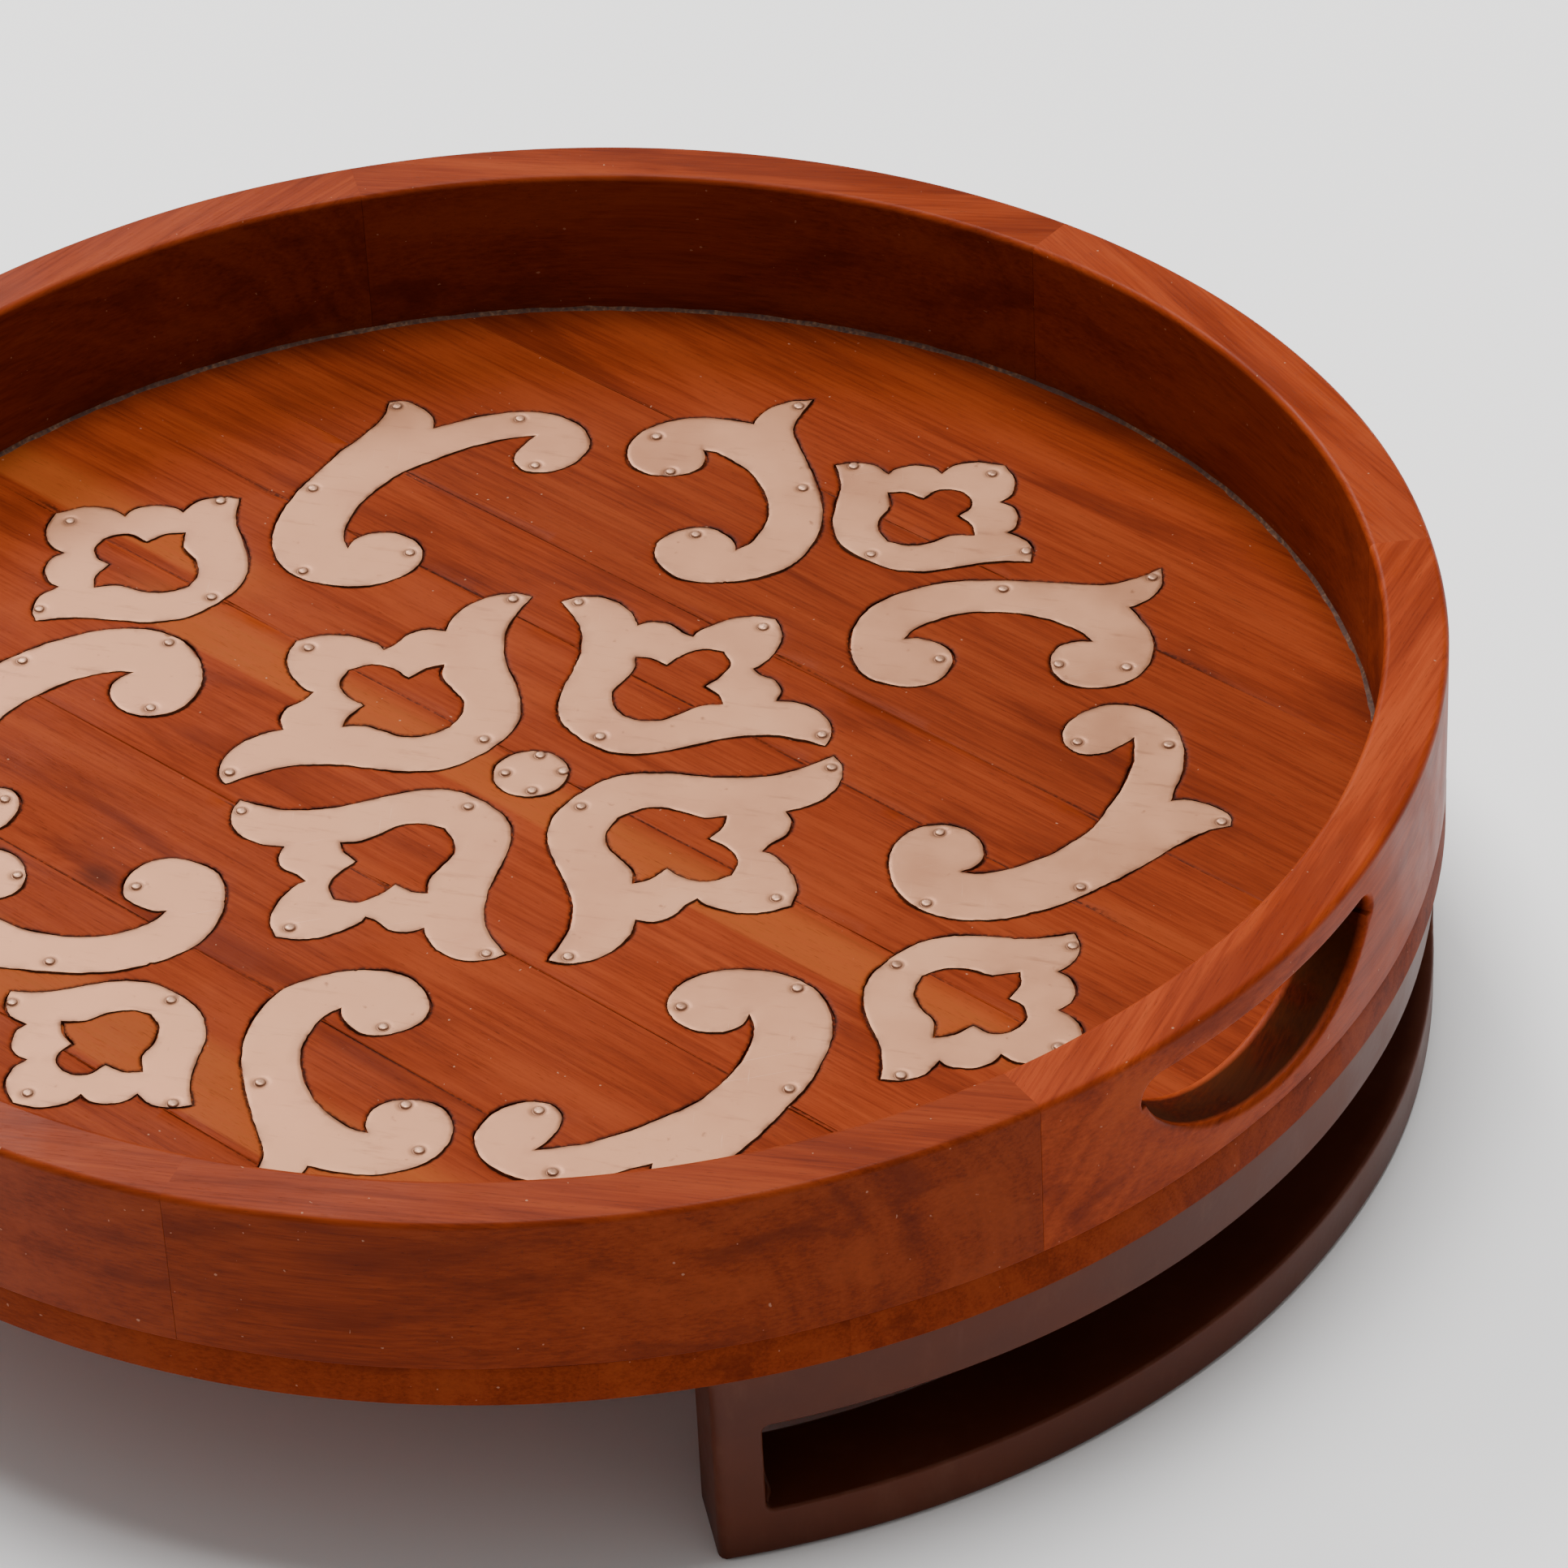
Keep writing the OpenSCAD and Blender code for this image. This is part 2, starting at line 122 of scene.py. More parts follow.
def make_piece(name, verts, faces, attributes=None, sharp_angle=40):
    """An object from points in millimetres. Its attributes give one number for each point."""
    mesh = bpy.data.meshes.new(name)
    mesh.from_pydata([tuple(c * MM for c in p) for p in verts], [], faces)
    mesh.update()
    for key, values in (attributes or {}).items():
        layer = mesh.attributes.new(key, "FLOAT", "POINT")
        layer.data.foreach_set("value", np.asarray(values, dtype=np.float32))
    tidy = bmesh.new()
    tidy.from_mesh(mesh)
    bmesh.ops.recalc_face_normals(tidy, faces=tidy.faces)
    tidy.to_mesh(mesh)
    tidy.free()
    mesh.shade_smooth()
    mesh.set_sharp_from_angle(angle=math.radians(sharp_angle))
    piece = bpy.data.objects.new(name, mesh)
    bpy.context.scene.collection.objects.link(piece)
    return piece


def stand_for(piece, slot, material, *nodes):
    """Puts a piece in place of CAD nodes."""
    piece.data.materials.append(material)
    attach(piece, "root")
    if nodes:
        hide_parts(*nodes)


def triangulate(points, edges):
    """Triangles over all the points, with the given edges kept."""
    merge_gap = 1e-5  # points closer together than this become one
    whole_area = 0  # the triangulation's setting for filling the whole area
    verts, _, faces, _, _, _ = delaunay_2d_cdt([Vector(p) for p in points], edges, [], whole_area, merge_gap)
    return np.array([tuple(v) for v in verts]), [tuple(f) for f in faces]


def keep_used(points, faces):
    """The points that the faces use, and the faces with their new point numbers."""
    used = sorted({i for face in faces for i in face})
    renumber = {old: new for new, old in enumerate(used)}
    return points[used], [tuple(renumber[i] for i in face) for face in faces]


def loop_edges(first, count):
    return [(first + i, first + (i + 1) % count) for i in range(count)]


def add_loop(points, edges, loop):
    """Adds a closed loop to the points and to the edges that must be kept."""
    edges += loop_edges(len(points), len(loop))
    points += [tuple(p) for p in loop]


def inside(points, loop):
    """Which of the points lie inside a closed loop."""
    found = np.zeros(len(points), dtype=bool)
    low, high = loop.min(axis=0), loop.max(axis=0)
    near = np.nonzero(((points >= low) & (points <= high)).all(axis=1))[0]
    x, y = points[near, 0], points[near, 1]
    odd = np.zeros(len(near), dtype=bool)
    for (x1, y1), (x2, y2) in zip(loop, np.roll(loop, -1, axis=0)):
        if y1 != y2:
            crosses = ((y1 > y) != (y2 > y)) & (x < (x2 - x1) * (y - y1) / (y2 - y1) + x1)
            odd ^= crosses
    found[near] = odd
    return found


def edge_normals(loop):
    """The outward direction at each point of a loop."""
    along = np.roll(loop, -1, axis=0) - np.roll(loop, 1, axis=0)
    along /= np.linalg.norm(along, axis=1)[:, None]
    after = np.roll(loop, -1, axis=0)
    turn = np.sign((loop[:, 0] * after[:, 1] - loop[:, 1] * after[:, 0]).sum())
    return turn * np.stack([along[:, 1], -along[:, 0]], axis=1)


def tree_of(points):
    tree = KDTree(len(points))
    for i, p in enumerate(points):
        tree.insert((p[0], p[1], 0), i)
    tree.balance()
    return tree


def gap_to(tree, p):
    return tree.find((p[0], p[1], 0))[2]


def resampled(loop, step):
    """The loop with its long edges divided into pieces no longer than the step."""
    out = []
    for a, b in zip(loop, np.roll(loop, -1, axis=0)):
        count = max(1, math.ceil(np.linalg.norm(b - a) / step))
        out.extend(a + (b - a) * k / count for k in range(count))
    return np.array(out)


def corner_steps(radius, steps=5):
    """Distances from an edge at which a rounded corner needs points."""
    return [radius * (1 - math.sin(math.pi / 2 * k / steps)) for k in range(steps + 1)]


def recess(gap, radius):
    """How far a rounded edge stands back, at a distance from it."""
    if gap >= radius:
        return 0.0
    return radius - math.sqrt(max(0.0, radius ** 2 - (radius - gap) ** 2))


# ---- Outlines of the sheet metal, from its CAD nodes ----

def top_loops(node):
    """The closed outlines of a node's upper face: the outer one first, then the holes in it."""
    play = 0.01  # how far below the floor a corner of the upper face may be
    points = np.round(vertices_of(node), 4)
    mesh = NODES[node].data
    mesh.calc_loop_triangles()
    count = {}
    for triangle in mesh.loop_triangles:
        corners = [tuple(points[i]) for i in triangle.vertices]
        if min(c[2] for c in corners) < FLOOR - play:
            continue
        for a, b in zip(corners, corners[1:] + corners[:1]):
            count[frozenset((a[:2], b[:2]))] = count.get(frozenset((a[:2], b[:2])), 0) + 1
    neighbours = {}
    for edge, times in count.items():
        if times == 1 and len(edge) == 2:
            a, b = sorted(edge)
            neighbours.setdefault(a, []).append(b)
            neighbours.setdefault(b, []).append(a)
    loops = []
    while neighbours:
        start = min(neighbours)
        loop = [start]
        here, last = neighbours[start][0], start
        while here != start:
            loop.append(here)
            pair = neighbours[here]
            here, last = (pair[0] if pair[1] == last else pair[1]), here
        for p in loop:
            del neighbours[p]
        loops.append(np.array(loop))
    return sorted(loops, key=lambda found: -np.ptp(found[:, 0]) * np.ptp(found[:, 1]))


def hand_cut(loop, seed):
    """The outline as snips leave it: slightly faceted, with a few small nicks."""
    facet = 1.3
    slow_sway, quick_sway = 0.22, 0.12
    nicks_above, nick_depth = 0.62, 2.2
    fine = resampled(loop, facet)
    out = []
    for p, normal in zip(fine, edge_normals(fine)):
        sway = slow_sway * wander(p[0], p[1], size=3.2, seed=seed)
        sway += quick_sway * wander(p[0], p[1], size=1.1, seed=seed)
        nick = max(0.0, wander(p[0], p[1], size=2.3, seed=seed + 7) - nicks_above) * nick_depth
        out.append(p + normal * (sway - nick))
    return np.array(out)


NAIL_REACH = 4.0  # a hole narrower than this is a nail's
PLAY = 0.42  # the usual gap between sheet metal and its pocket
PLAY_CHANGE = 0.55
LEAST_PLAY = 0.14


class Plate:
    """A piece of sheet metal: its cut outlines, the pocket round it, and its nails' places."""

    def __init__(self, node, seed):
        self.node = node
        loops = top_loops(node)
        wide = [loop for loop in loops if np.ptp(loop[:, 0]) > NAIL_REACH]
        self.nails = [loop.mean(axis=0) for loop in loops if np.ptp(loop[:, 0]) <= NAIL_REACH]
        self.cuts = [hand_cut(loop, seed + i) for i, loop in enumerate(wide)]
        self.pockets = []
        for i, cut in enumerate(self.cuts):
            side = 1 if i == 0 else -1
            ring = []
            for p, normal in zip(cut, edge_normals(cut)):
                play = PLAY + PLAY_CHANGE * wander(p[0], p[1], size=9, seed=seed + 3)
                ring.append(p + side * normal * max(LEAST_PLAY, play))
            self.pockets.append(np.array(ring))

    def holds(self, points):
        """Which of the points lie in the pocket."""
        held = inside(points, self.pockets[0])
        for hole in self.pockets[1:]:
            held &= ~inside(points, hole)
        return held


PLATE_SHAPES = {name: Plate(name, seed=3.0 + 5.1 * i) for i, name in enumerate(PLATES)}


def spread_points(low, high, pitch, seed):
    """Points all over a rectangle, about a pitch apart, slightly out of line."""
    row_height = 0.87  # of the pitch, so that the triangles have nearly equal sides
    jitter = 0.2 * pitch
    found = []
    rows = int((high[1] - low[1]) / (pitch * row_height)) + 1
    columns = int((high[0] - low[0]) / pitch) + 1
    for row in range(rows + 1):
        for column in range(columns + 1):
            x = low[0] + (column + 0.5 * (row % 2)) * pitch
            y = low[1] + row * pitch * row_height
            found.append((x + jitter * wander(x, y, size=3.1, seed=seed),
                          y + jitter * wander(x, y, size=2.7, seed=seed + 9)))
    return np.array(found)


NAIL_RINGS = (1.2, 1.5, 1.9, 2.7)  # circles of points round each nail


def plate_points(shape, rim, heads):
    """Points all over a piece of sheet metal, and the edges that must be kept."""
    edge_rows = (0.35, 0.9)
    row_gap, row_nail_gap = 0.28, NAIL_RINGS[-1] + 0.3
    pitch = 2.4
    spot_gap, spot_nail_gap = 1.5, NAIL_RINGS[-1] + 0.8
    ring_points, ring_gap = 14, 0.5
    points, edges, rows = [], [], []
    for i, loop in enumerate(shape.cuts):
        add_loop(points, edges, loop)
        side = -1 if i == 0 else 1
        for step in edge_rows:
            rows += list(loop + side * step * edge_normals(loop))
    outline = shape.cuts[0]
    spots = spread_points(outline.min(axis=0), outline.max(axis=0), pitch, seed=1.0)
    spots = [p for p in spots if gap_to(rim, p) > spot_gap and gap_to(heads, p) > spot_nail_gap]
    for centre in shape.nails:
        for ring in NAIL_RINGS:
            for k in range(ring_points):
                turn = 2 * math.pi * k / ring_points
                spots.append(centre + ring * np.array([math.cos(turn), math.sin(turn)]))
    points += [tuple(p) for p in rows if gap_to(rim, p) > row_gap and gap_to(heads, p) > row_nail_gap]
    points += [tuple(p) for p in spots if gap_to(rim, p) > ring_gap]
    return points, edges


def sheet_rise(x, y, from_edge, from_nail):
    """How far the sheet stands above the floor. It has faint dents, a rolled edge and rings round nails."""
    proud, dents, ripples = 0.05, 0.05, 0.02
    roll_depth, roll_width = 0.10, 0.6
    ring_depth, ring_place, ring_width = 0.16, 1.45, 0.35
    rise = proud + dents * wander(x, y, size=21) + ripples * wander(x, y, size=7, seed=4)
    rise -= roll_depth * max(0.0, 1 - from_edge / roll_width) ** 2
    rise -= ring_depth * math.exp(-((from_nail - ring_place) / ring_width) ** 2)
    return rise


def build_plate(shape, material):
    """A piece of sheet metal, nailed down in its pocket."""
    wear_width = 1.2
    grime_place, grime_width = 1.4, 0.2
    rim = tree_of(np.vstack(shape.cuts))
    heads = tree_of(shape.nails)
    points, edges = plate_points(shape, rim, heads)
    flat, faces = triangulate(points, edges)
    middles = flat[np.array(faces)].mean(axis=1)
    kept = inside(middles, shape.cuts[0])
    for hole in shape.cuts[1:]:
        kept &= ~inside(middles, hole)
    flat, faces = keep_used(flat, [face for face, keep in zip(faces, kept) if keep])

    top, edge_dirt_and_highlight, grime = [], [], []
    for x, y in flat:
        from_edge = gap_to(rim, (x, y))
        from_nail = gap_to(heads, (x, y))
        top.append((x, y, FLOOR + sheet_rise(x, y, from_edge, from_nail)))
        edge_dirt_and_highlight.append(max(0.0, 1 - from_edge / wear_width))
        grime.append(math.exp(-((from_nail - grime_place) / grime_width) ** 2))
    count = len(flat)
    verts = top + [(x, y, FLOOR - PLATE_T) for x, y in flat]
    shell = list(faces) + [tuple(i + count for i in reversed(face)) for face in faces]
    shell += side_walls(faces, count)
    both_sides = {"edge": edge_dirt_and_highlight + edge_dirt_and_highlight, "grime": grime + grime}
    piece = make_piece(shape.node + "_sheet", verts, shell, both_sides, sharp_angle=50)
    stand_for(piece, "inlay_metal", material, shape.node)


def open_edges(faces):
    """The edges that only one face has, each in that face's direction."""
    once = {}
    for face in faces:
        for a, b in zip(face, face[1:] + face[:1]):
            if (b, a) in once:
                del once[(b, a)]
            else:
                once[(a, b)] = True
    return list(once)


def side_walls(faces, count):
    """Faces down from the open edges to the lower points, which are numbered on by the count."""
    return [(a, a + count, b + count, b) for a, b in open_edges(faces)]


# ---- Nails ----

NAIL_SIDES = 18
NAIL_LIFT = 0.1  # how far the head's underside stands above the floor
# A nail from its top to its point: how far out, and how high
NAIL_PROFILE = [(0.0, 0.30), (0.5, 0.285), (0.9, 0.23), (1.12, 0.13), (1.22, -0.02), (1.22, -0.25),
                (0.55, -0.35), (0.55, -6.5), (0.0, -8.0)]
HEAD_LOW = -0.3  # above this height a nail is hammered out of shape


def nail_rings(x, y):
    """The points of one nail, ring by ring. It leans a little its own way."""
    lean, uneven, dented = 0.16, 0.12, 0.06
    lean_x = lean * wander(x, y, size=1.7, seed=2)
    lean_y = lean * wander(x, y, size=1.9, seed=5)
    swell = 1 + uneven * wander(x, y, size=2.1, seed=8)
    rings = []
    for reach, height in NAIL_PROFILE:
        ring = []
        for k in range(NAIL_SIDES if reach > 0 else 1):
            turn = 2 * math.pi * k / NAIL_SIDES
            dx, dy = reach * swell * math.cos(turn), reach * swell * math.sin(turn)
            dz = height
            if height > HEAD_LOW:
                dx *= 1 + dented * wander(x + dx, y + dy, size=1.3)
                dz = height + lean_x * dx + lean_y * dy
            ring.append((x + dx, y + dy, FLOOR + NAIL_LIFT + dz))
        rings.append(ring)
    return rings


def build_nails(group, material):
    """Small domed nails, all in one piece."""
    verts, faces, wear = [], [], []
    for plate in NAIL_GROUPS[group]:
        for x, y in PLATE_SHAPES[plate].nails:
            rings = []
            for ring in nail_rings(x, y):
                rings.append(list(range(len(verts), len(verts) + len(ring))))
                verts += ring
                wear += [0.5 + 0.5 * wander(x, y, size=1.5, seed=3)] * len(ring)
            for upper, lower in zip(rings, rings[1:]):
                for k in range(NAIL_SIDES):
                    a, b = upper[k % len(upper)], upper[(k + 1) % len(upper)]
                    c, d = lower[(k + 1) % len(lower)], lower[k % len(lower)]
                    faces.append(tuple(dict.fromkeys((a, b, c, d))))
    piece = make_piece(group + "_heads", verts, faces, {"wear": wear}, sharp_angle=60)
    stand_for(piece, "nails", material, group)


# ---- Planks ----

GRAIN_TURN = math.radians(-3.5)
ALONG = np.array([math.cos(GRAIN_TURN), math.sin(GRAIN_TURN)])
ACROSS = np.array([-math.sin(GRAIN_TURN), math.cos(GRAIN_TURN)])


def plank_seams():
    """The seams between planks, measured across the grain, from the back to the front."""
    return [(vertices_of(name)[:, :2] @ ACROSS).min() for name in PLANKS[:-1]]


SEAMS = plank_seams()
SEAM_REACH = 0.22  # how far from a seam the planks' edges are eased
SEAM_DEPTH = 0.035
CHAR_REACH = 0.9  # how far from a pocket the wood is scorched
CHAR_DEPTH = 0.18
BOARD_SIDES = 300


def floor_points():
    """All the points of the planks' upper side, and the edges that must be kept."""
    overhang = 5
    pocket_rows = (0.4, 1.1)
    row_gap = 0.32
    pitch = 4.0
    spot_gap = 2
    turns = 2 * math.pi * np.arange(BOARD_SIDES) / BOARD_SIDES
    points = [tuple(p) for p in RIM_OUT * np.stack([np.cos(turns), np.sin(turns)], axis=1)]
    edges = loop_edges(0, BOARD_SIDES)
    for seam in SEAMS:
        half = math.sqrt(RIM_OUT ** 2 - seam ** 2) + overhang
        for off in (0.0, SEAM_REACH, -SEAM_REACH):
            edges.append((len(points), len(points) + 1))
            points.append(tuple(ACROSS * (seam + off) - ALONG * half))
            points.append(tuple(ACROSS * (seam + off) + ALONG * half))
    outlines = [loop for shape in PLATE_SHAPES.values() for loop in shape.pockets]
    for loop in outlines:
        add_loop(points, edges, loop)
    near = tree_of(np.vstack(outlines))
    for shape in PLATE_SHAPES.values():
        for i, loop in enumerate(shape.pockets):
            side = 1 if i == 0 else -1
            for step in pocket_rows:
                ring = loop + side * step * edge_normals(loop)
                points += [tuple(p) for p in ring if gap_to(near, p) > row_gap]
    spots = spread_points((-RIM_OUT, -RIM_OUT), (RIM_OUT, RIM_OUT), pitch, seed=2.0)
    spots = [p for p in spots if np.hypot(*p) < RIM_OUT - spot_gap and gap_to(near, p) > spot_gap]
    points += [tuple(p) for p in spots]
    return points, edges, near


def build_planks(materials):
    """The floor's planks, with a pocket for each piece of sheet metal."""
    hair = 1e-6
    beyond = RIM_OUT + 1
    points, edges, near = floor_points()
    flat, faces = triangulate(points, edges)
    middles = flat[np.array(faces)].mean(axis=1)
    step = 2 * math.pi / BOARD_SIDES
    off = np.mod(np.arctan2(middles[:, 1], middles[:, 0]), step) - step / 2
    on_board = np.hypot(middles[:, 0], middles[:, 1]) * np.cos(off) < RIM_OUT * math.cos(step / 2) - hair
    sunk = np.zeros(len(faces), dtype=bool)
    for shape in PLATE_SHAPES.values():
        sunk |= shape.holds(middles)
    height = middles @ ACROSS
    limits = [beyond] + SEAMS + [-beyond]
    from_seam = np.min(np.abs((flat @ ACROSS)[:, None] - np.array(SEAMS)[None]), axis=1)
    reach = np.hypot(flat[:, 0], flat[:, 1])
    char = [max(0.0, 1 - gap_to(near, p) / CHAR_REACH) for p in flat]
    for index, name in enumerate(PLANKS):
        mine = on_board & (height < limits[index]) & (height > limits[index + 1])
        chosen = [(faces[i], bool(sunk[i])) for i in np.nonzero(mine)[0]]
        build_plank(name, chosen, flat, from_seam, reach, char, materials[index])


# The levels at which a plank has points, from its upper side down
TOP, POCKET, SIDE_HIGH, SIDE_LOW, BOTTOM = range(5)


def plank_point(x, y, level, seam_gap, char, round_edge):
    """The height of a plank's point, and how far it stands back from the board's round edge."""
    waves = 0.05
    top_round, bottom_round = 0.25, 0.7
    if level == TOP:
        z = FLOOR + waves * wander(x, y, size=30, seed=6) - SEAM_DEPTH * max(0.0, 1 - seam_gap / SEAM_REACH)
        return z - CHAR_DEPTH * char ** 2, top_round if round_edge else 0.0
    if level == POCKET:
        return FLOOR - PLATE_T, 0.0
    if level == SIDE_HIGH:
        return FLOOR - 1.2 * PLATE_T, waves * wander(x, y, size=4) if round_edge else 0.0
    if level == SIDE_LOW:
        return BOARD_LOW + bottom_round, 0.0
    return BOARD_LOW, bottom_round if round_edge else 0.0


def build_plank(name, chosen, flat, from_seam, reach, char, material):
    """One plank, from its triangles and whether each is sunk, with the scorch beside its pockets."""
    verts, burn, numbers, faces = [], [], {}, []

    def vertex(i, level):
        """The number of a point at a level, which is made when it is first asked for."""
        if (i, level) not in numbers:
            x, y = flat[i]
            round_edge = reach[i] > RIM_OUT - 0.5
            z, inset = plank_point(x, y, level, from_seam[i], char[i], round_edge)
            scale = 1 - inset / max(reach[i], 1.0)
            numbers[(i, level)] = len(verts)
            verts.append((x * scale, y * scale, z))
            burn.append(char[i] if level in (TOP, POCKET) else 0.0)
        return numbers[(i, level)]

    sides = {}
    for face, sunk in chosen:
        level = POCKET if sunk else TOP
        faces.append(tuple(vertex(i, level) for i in face))
        faces.append(tuple(vertex(i, BOTTOM) for i in reversed(face)))
        for a, b in zip(face, face[1:] + face[:1]):
            sides.setdefault(frozenset((a, b)), []).append((a, b, level))
    for uses in sides.values():
        a, b, level = uses[0]
        if len(uses) == 2 and uses[1][2] != level:
            faces.append((vertex(a, TOP), vertex(b, TOP), vertex(b, POCKET), vertex(a, POCKET)))
        if len(uses) == 1:
            for upper, lower in ((level, SIDE_HIGH), (SIDE_HIGH, SIDE_LOW), (SIDE_LOW, BOTTOM)):
                faces.append((vertex(a, upper), vertex(b, upper), vertex(b, lower), vertex(a, lower)))
    piece = make_piece("plank_" + name[-1], verts, faces, {"burn": burn}, sharp_angle=35)
    stand_for(piece, "board_wood", material, name)


# ---- Curved walls: the rim and the feet ----

WALL_PITCH = 3.5
Rounding = namedtuple("Rounding", "top bottom ends hole")  # the radii of a curved wall's edges


def steps_between(low, high, low_radius, high_radius):
    """Places along one side of a wall, close together where its edges are rounded."""
    found = {low, high}
    found |= {low + d for d in corner_steps(low_radius)}
    found |= {high - d for d in corner_steps(high_radius)}
    first, last = low + low_radius, high - high_radius
    count = max(2, round((last - first) / WALL_PITCH))
    found |= {first + (last - first) * k / count for k in range(count + 1)}
    return sorted(round(v, 5) for v in found)


def wall_mesh(sides, heights, rounding, hole, near):
    """A wall's face laid out flat, as triangles."""
    start, end = sides
    low, high = heights
    across = steps_between(start, end, rounding.ends, rounding.ends)
    up = steps_between(low, high, rounding.bottom, rounding.top)
    points = [(u, low) for u in across] + [(end, v) for v in up[1:]]
    points += [(u, high) for u in reversed(across[:-1])] + [(start, v) for v in reversed(up[1:-1])]
    edges = loop_edges(0, len(points))
    if hole is not None:
        add_loop(points, edges, hole)
        for step in corner_steps(rounding.hole)[:-1]:
            ring = hole + step * edge_normals(hole)
            points += [tuple(p) for p in ring if gap_to(near, p) > 0.9 * step]
    for u in across[1:-1]:
        for v in up[1:-1]:
            if near is None or gap_to(near, (u, v)) > rounding.hole + 1:
                points.append((u, v))
    flat, faces = triangulate(points, edges)
    if hole is None:
        return flat, faces
    middles = flat[np.array(faces)].mean(axis=1)
    return keep_used(flat, [face for face, out in zip(faces, inside(middles, hole)) if not out])


def build_wall(name, radii, angles, heights, rounding, hole, sway):
    """A wall that follows a circle. The hole is an outline in arc length and height, seen from outside."""
    r_in, r_out = radii
    low, high = heights
    start, end = angles[0] * r_out, angles[1] * r_out
    lining_gap = 1.9 * rounding.hole  # how far inside the wall's faces the hole's lining starts
    on_edge = 0.1
    near = None if hole is None else tree_of(resampled(hole, 0.6))
    flat, faces = wall_mesh((start, end), heights, rounding, hole, near)
    outer, inner, edge_dirt_and_highlight = [], [], []
    for u, v in flat:
        gaps = [(high - v, rounding.top), (v - low, rounding.bottom)]
        gaps.append((min(u - start, end - u), rounding.ends))
        if near is not None:
            gaps.append((gap_to(near, (u, v)), rounding.hole))
        back, radius = max((recess(gap, size), size) for gap, size in gaps)
        part = back / radius
        x, y = math.cos(u / r_out), math.sin(u / r_out)
        shift = sway * wander(x * r_out, y * r_out, v, size=38, seed=1)
        outer.append((x * (r_out - back + shift), y * (r_out - back + shift), v))
        inner.append((x * (r_in + back + shift), y * (r_in + back + shift), v))
        # This peaks halfway round a rounded edge; the foot paint uses it for a painted highlight
        edge_dirt_and_highlight.append(4 * part * (1 - part))
    count = len(flat)
    verts = outer + inner
    edge_dirt_and_highlight += edge_dirt_and_highlight
    # The hole's lining gets cut 1, and the slotted rim wood paints shade there
    cut = [0.0] * len(verts)
    shell = list(faces) + [tuple(i + count for i in reversed(face)) for face in faces]
    lining = {}
    for a, b in open_edges(faces):
        if near is None or max(gap_to(near, flat[a]), gap_to(near, flat[b])) > on_edge:
            shell.append((a, a + count, b + count, b))
            continue
        for i in (a, b):
            if i not in lining:
                lining[i] = len(verts)
                u, v = flat[i]
                for reach in (r_out - lining_gap, r_in + lining_gap):
                    verts.append((math.cos(u / r_out) * reach, math.sin(u / r_out) * reach, v))
                    edge_dirt_and_highlight.append(0.0)
                    cut.append(1.0)
        shell.append((a, lining[a], lining[b], b))
        shell.append((lining[a], lining[a] + 1, lining[b] + 1, lining[b]))
        shell.append((lining[a] + 1, a + count, b + count, lining[b] + 1))
    piece = make_piece(name, verts, shell, {"edge": edge_dirt_and_highlight, "cut": cut}, sharp_angle=45)
    smooth = piece.modifiers.new("even_shading", "WEIGHTED_NORMAL")
    smooth.keep_sharp = True
    return piece


def slot_outline(slot):
    """A hand slot: straight above, with rounded corners, and bowed below."""
    corner = 5.0
    lean = 15  # the corners turn this many degrees past upright to meet the bow
    bow = slot.high - slot.low
    outline = []
    for turn in np.radians(np.arange(180 - lean, lean - 1, -5)):
        outline.append((slot.half * math.cos(turn), slot.high - bow * math.sin(turn)))
    right = []
    for turn in np.radians(np.arange(-lean, 91, 15)):
        right.append((slot.half - corner * (1 - math.cos(turn)), slot.high - corner * (1 - math.sin(turn))))
    left = [(-x, y) for x, y in reversed(right)]
    fine = resampled(np.array(outline + right + left), 2.5)
    fine[:, 0] += slot.middle * RIM_OUT
    return fine


def build_rim(material_of):
    for name in RIMS:
        hole = slot_outline(Slot(name)) if "slot" in name else None
        rounding = Rounding(top=1.6, bottom=0.35, ends=0.18, hole=1.3)
        piece = build_wall(name + "_wood", (RIM_IN, RIM_OUT), angles_of(name), (FLOOR, RIM_TOP),
                           rounding, hole, sway=0.18)
        stand_for(piece, "rim_wood", material_of(name), name)


def window_outline(start, end, low, high):
    """The window of a foot, with rounded corners."""
    corner = 1.5
    left, right = start + corner, end - corner
    lower, upper = low + corner, high - corner
    outline = []
    for u, v, first in ((right, lower, -90), (right, upper, 0), (left, upper, 90), (left, lower, 180)):
        for turn in np.radians(np.arange(first, first + 91, 30)):
            outline.append((u + corner * math.cos(turn), v + corner * math.sin(turn)))
    return resampled(np.array(outline), 3.0)


def build_foot(side, material):
    """One painted foot: a curved frame with a window in it."""
    parts = [f"{side}_foot_{part}" for part in ("top_rail", "bottom_rail", "front_post", "back_post")]
    top_rail, bottom_rail, front_post = parts[:3]
    rail_start, rail_end = angles_of(top_rail)
    post_start, post_end = angles_of(front_post)
    post = (post_end - post_start) * FOOT_IN / FOOT_OUT
    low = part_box(bottom_rail)[1][2] / MM
    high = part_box(top_rail)[0][2] / MM
    hole = window_outline(rail_start * FOOT_OUT, rail_end * FOOT_OUT, low, high)
    rounding = Rounding(top=0.8, bottom=1.4, ends=3.2, hole=0.9)
    piece = build_wall(f"{side}_foot_frame", (FOOT_IN, FOOT_OUT), (rail_start - post, rail_end + post),
                       (0.0, BOARD_LOW), rounding, hole, sway=0.25)
    stand_for(piece, "feet_paint", material, *parts)
    for i, (turn, z) in enumerate(((rail_start, low), (rail_start, high), (rail_end, low), (rail_end, high))):
        lean = (1 if turn == rail_start else -1, 1 if z == low else -1)
        build_weld(f"{side}_foot_weld_{i + 1}", turn, z, lean, material)


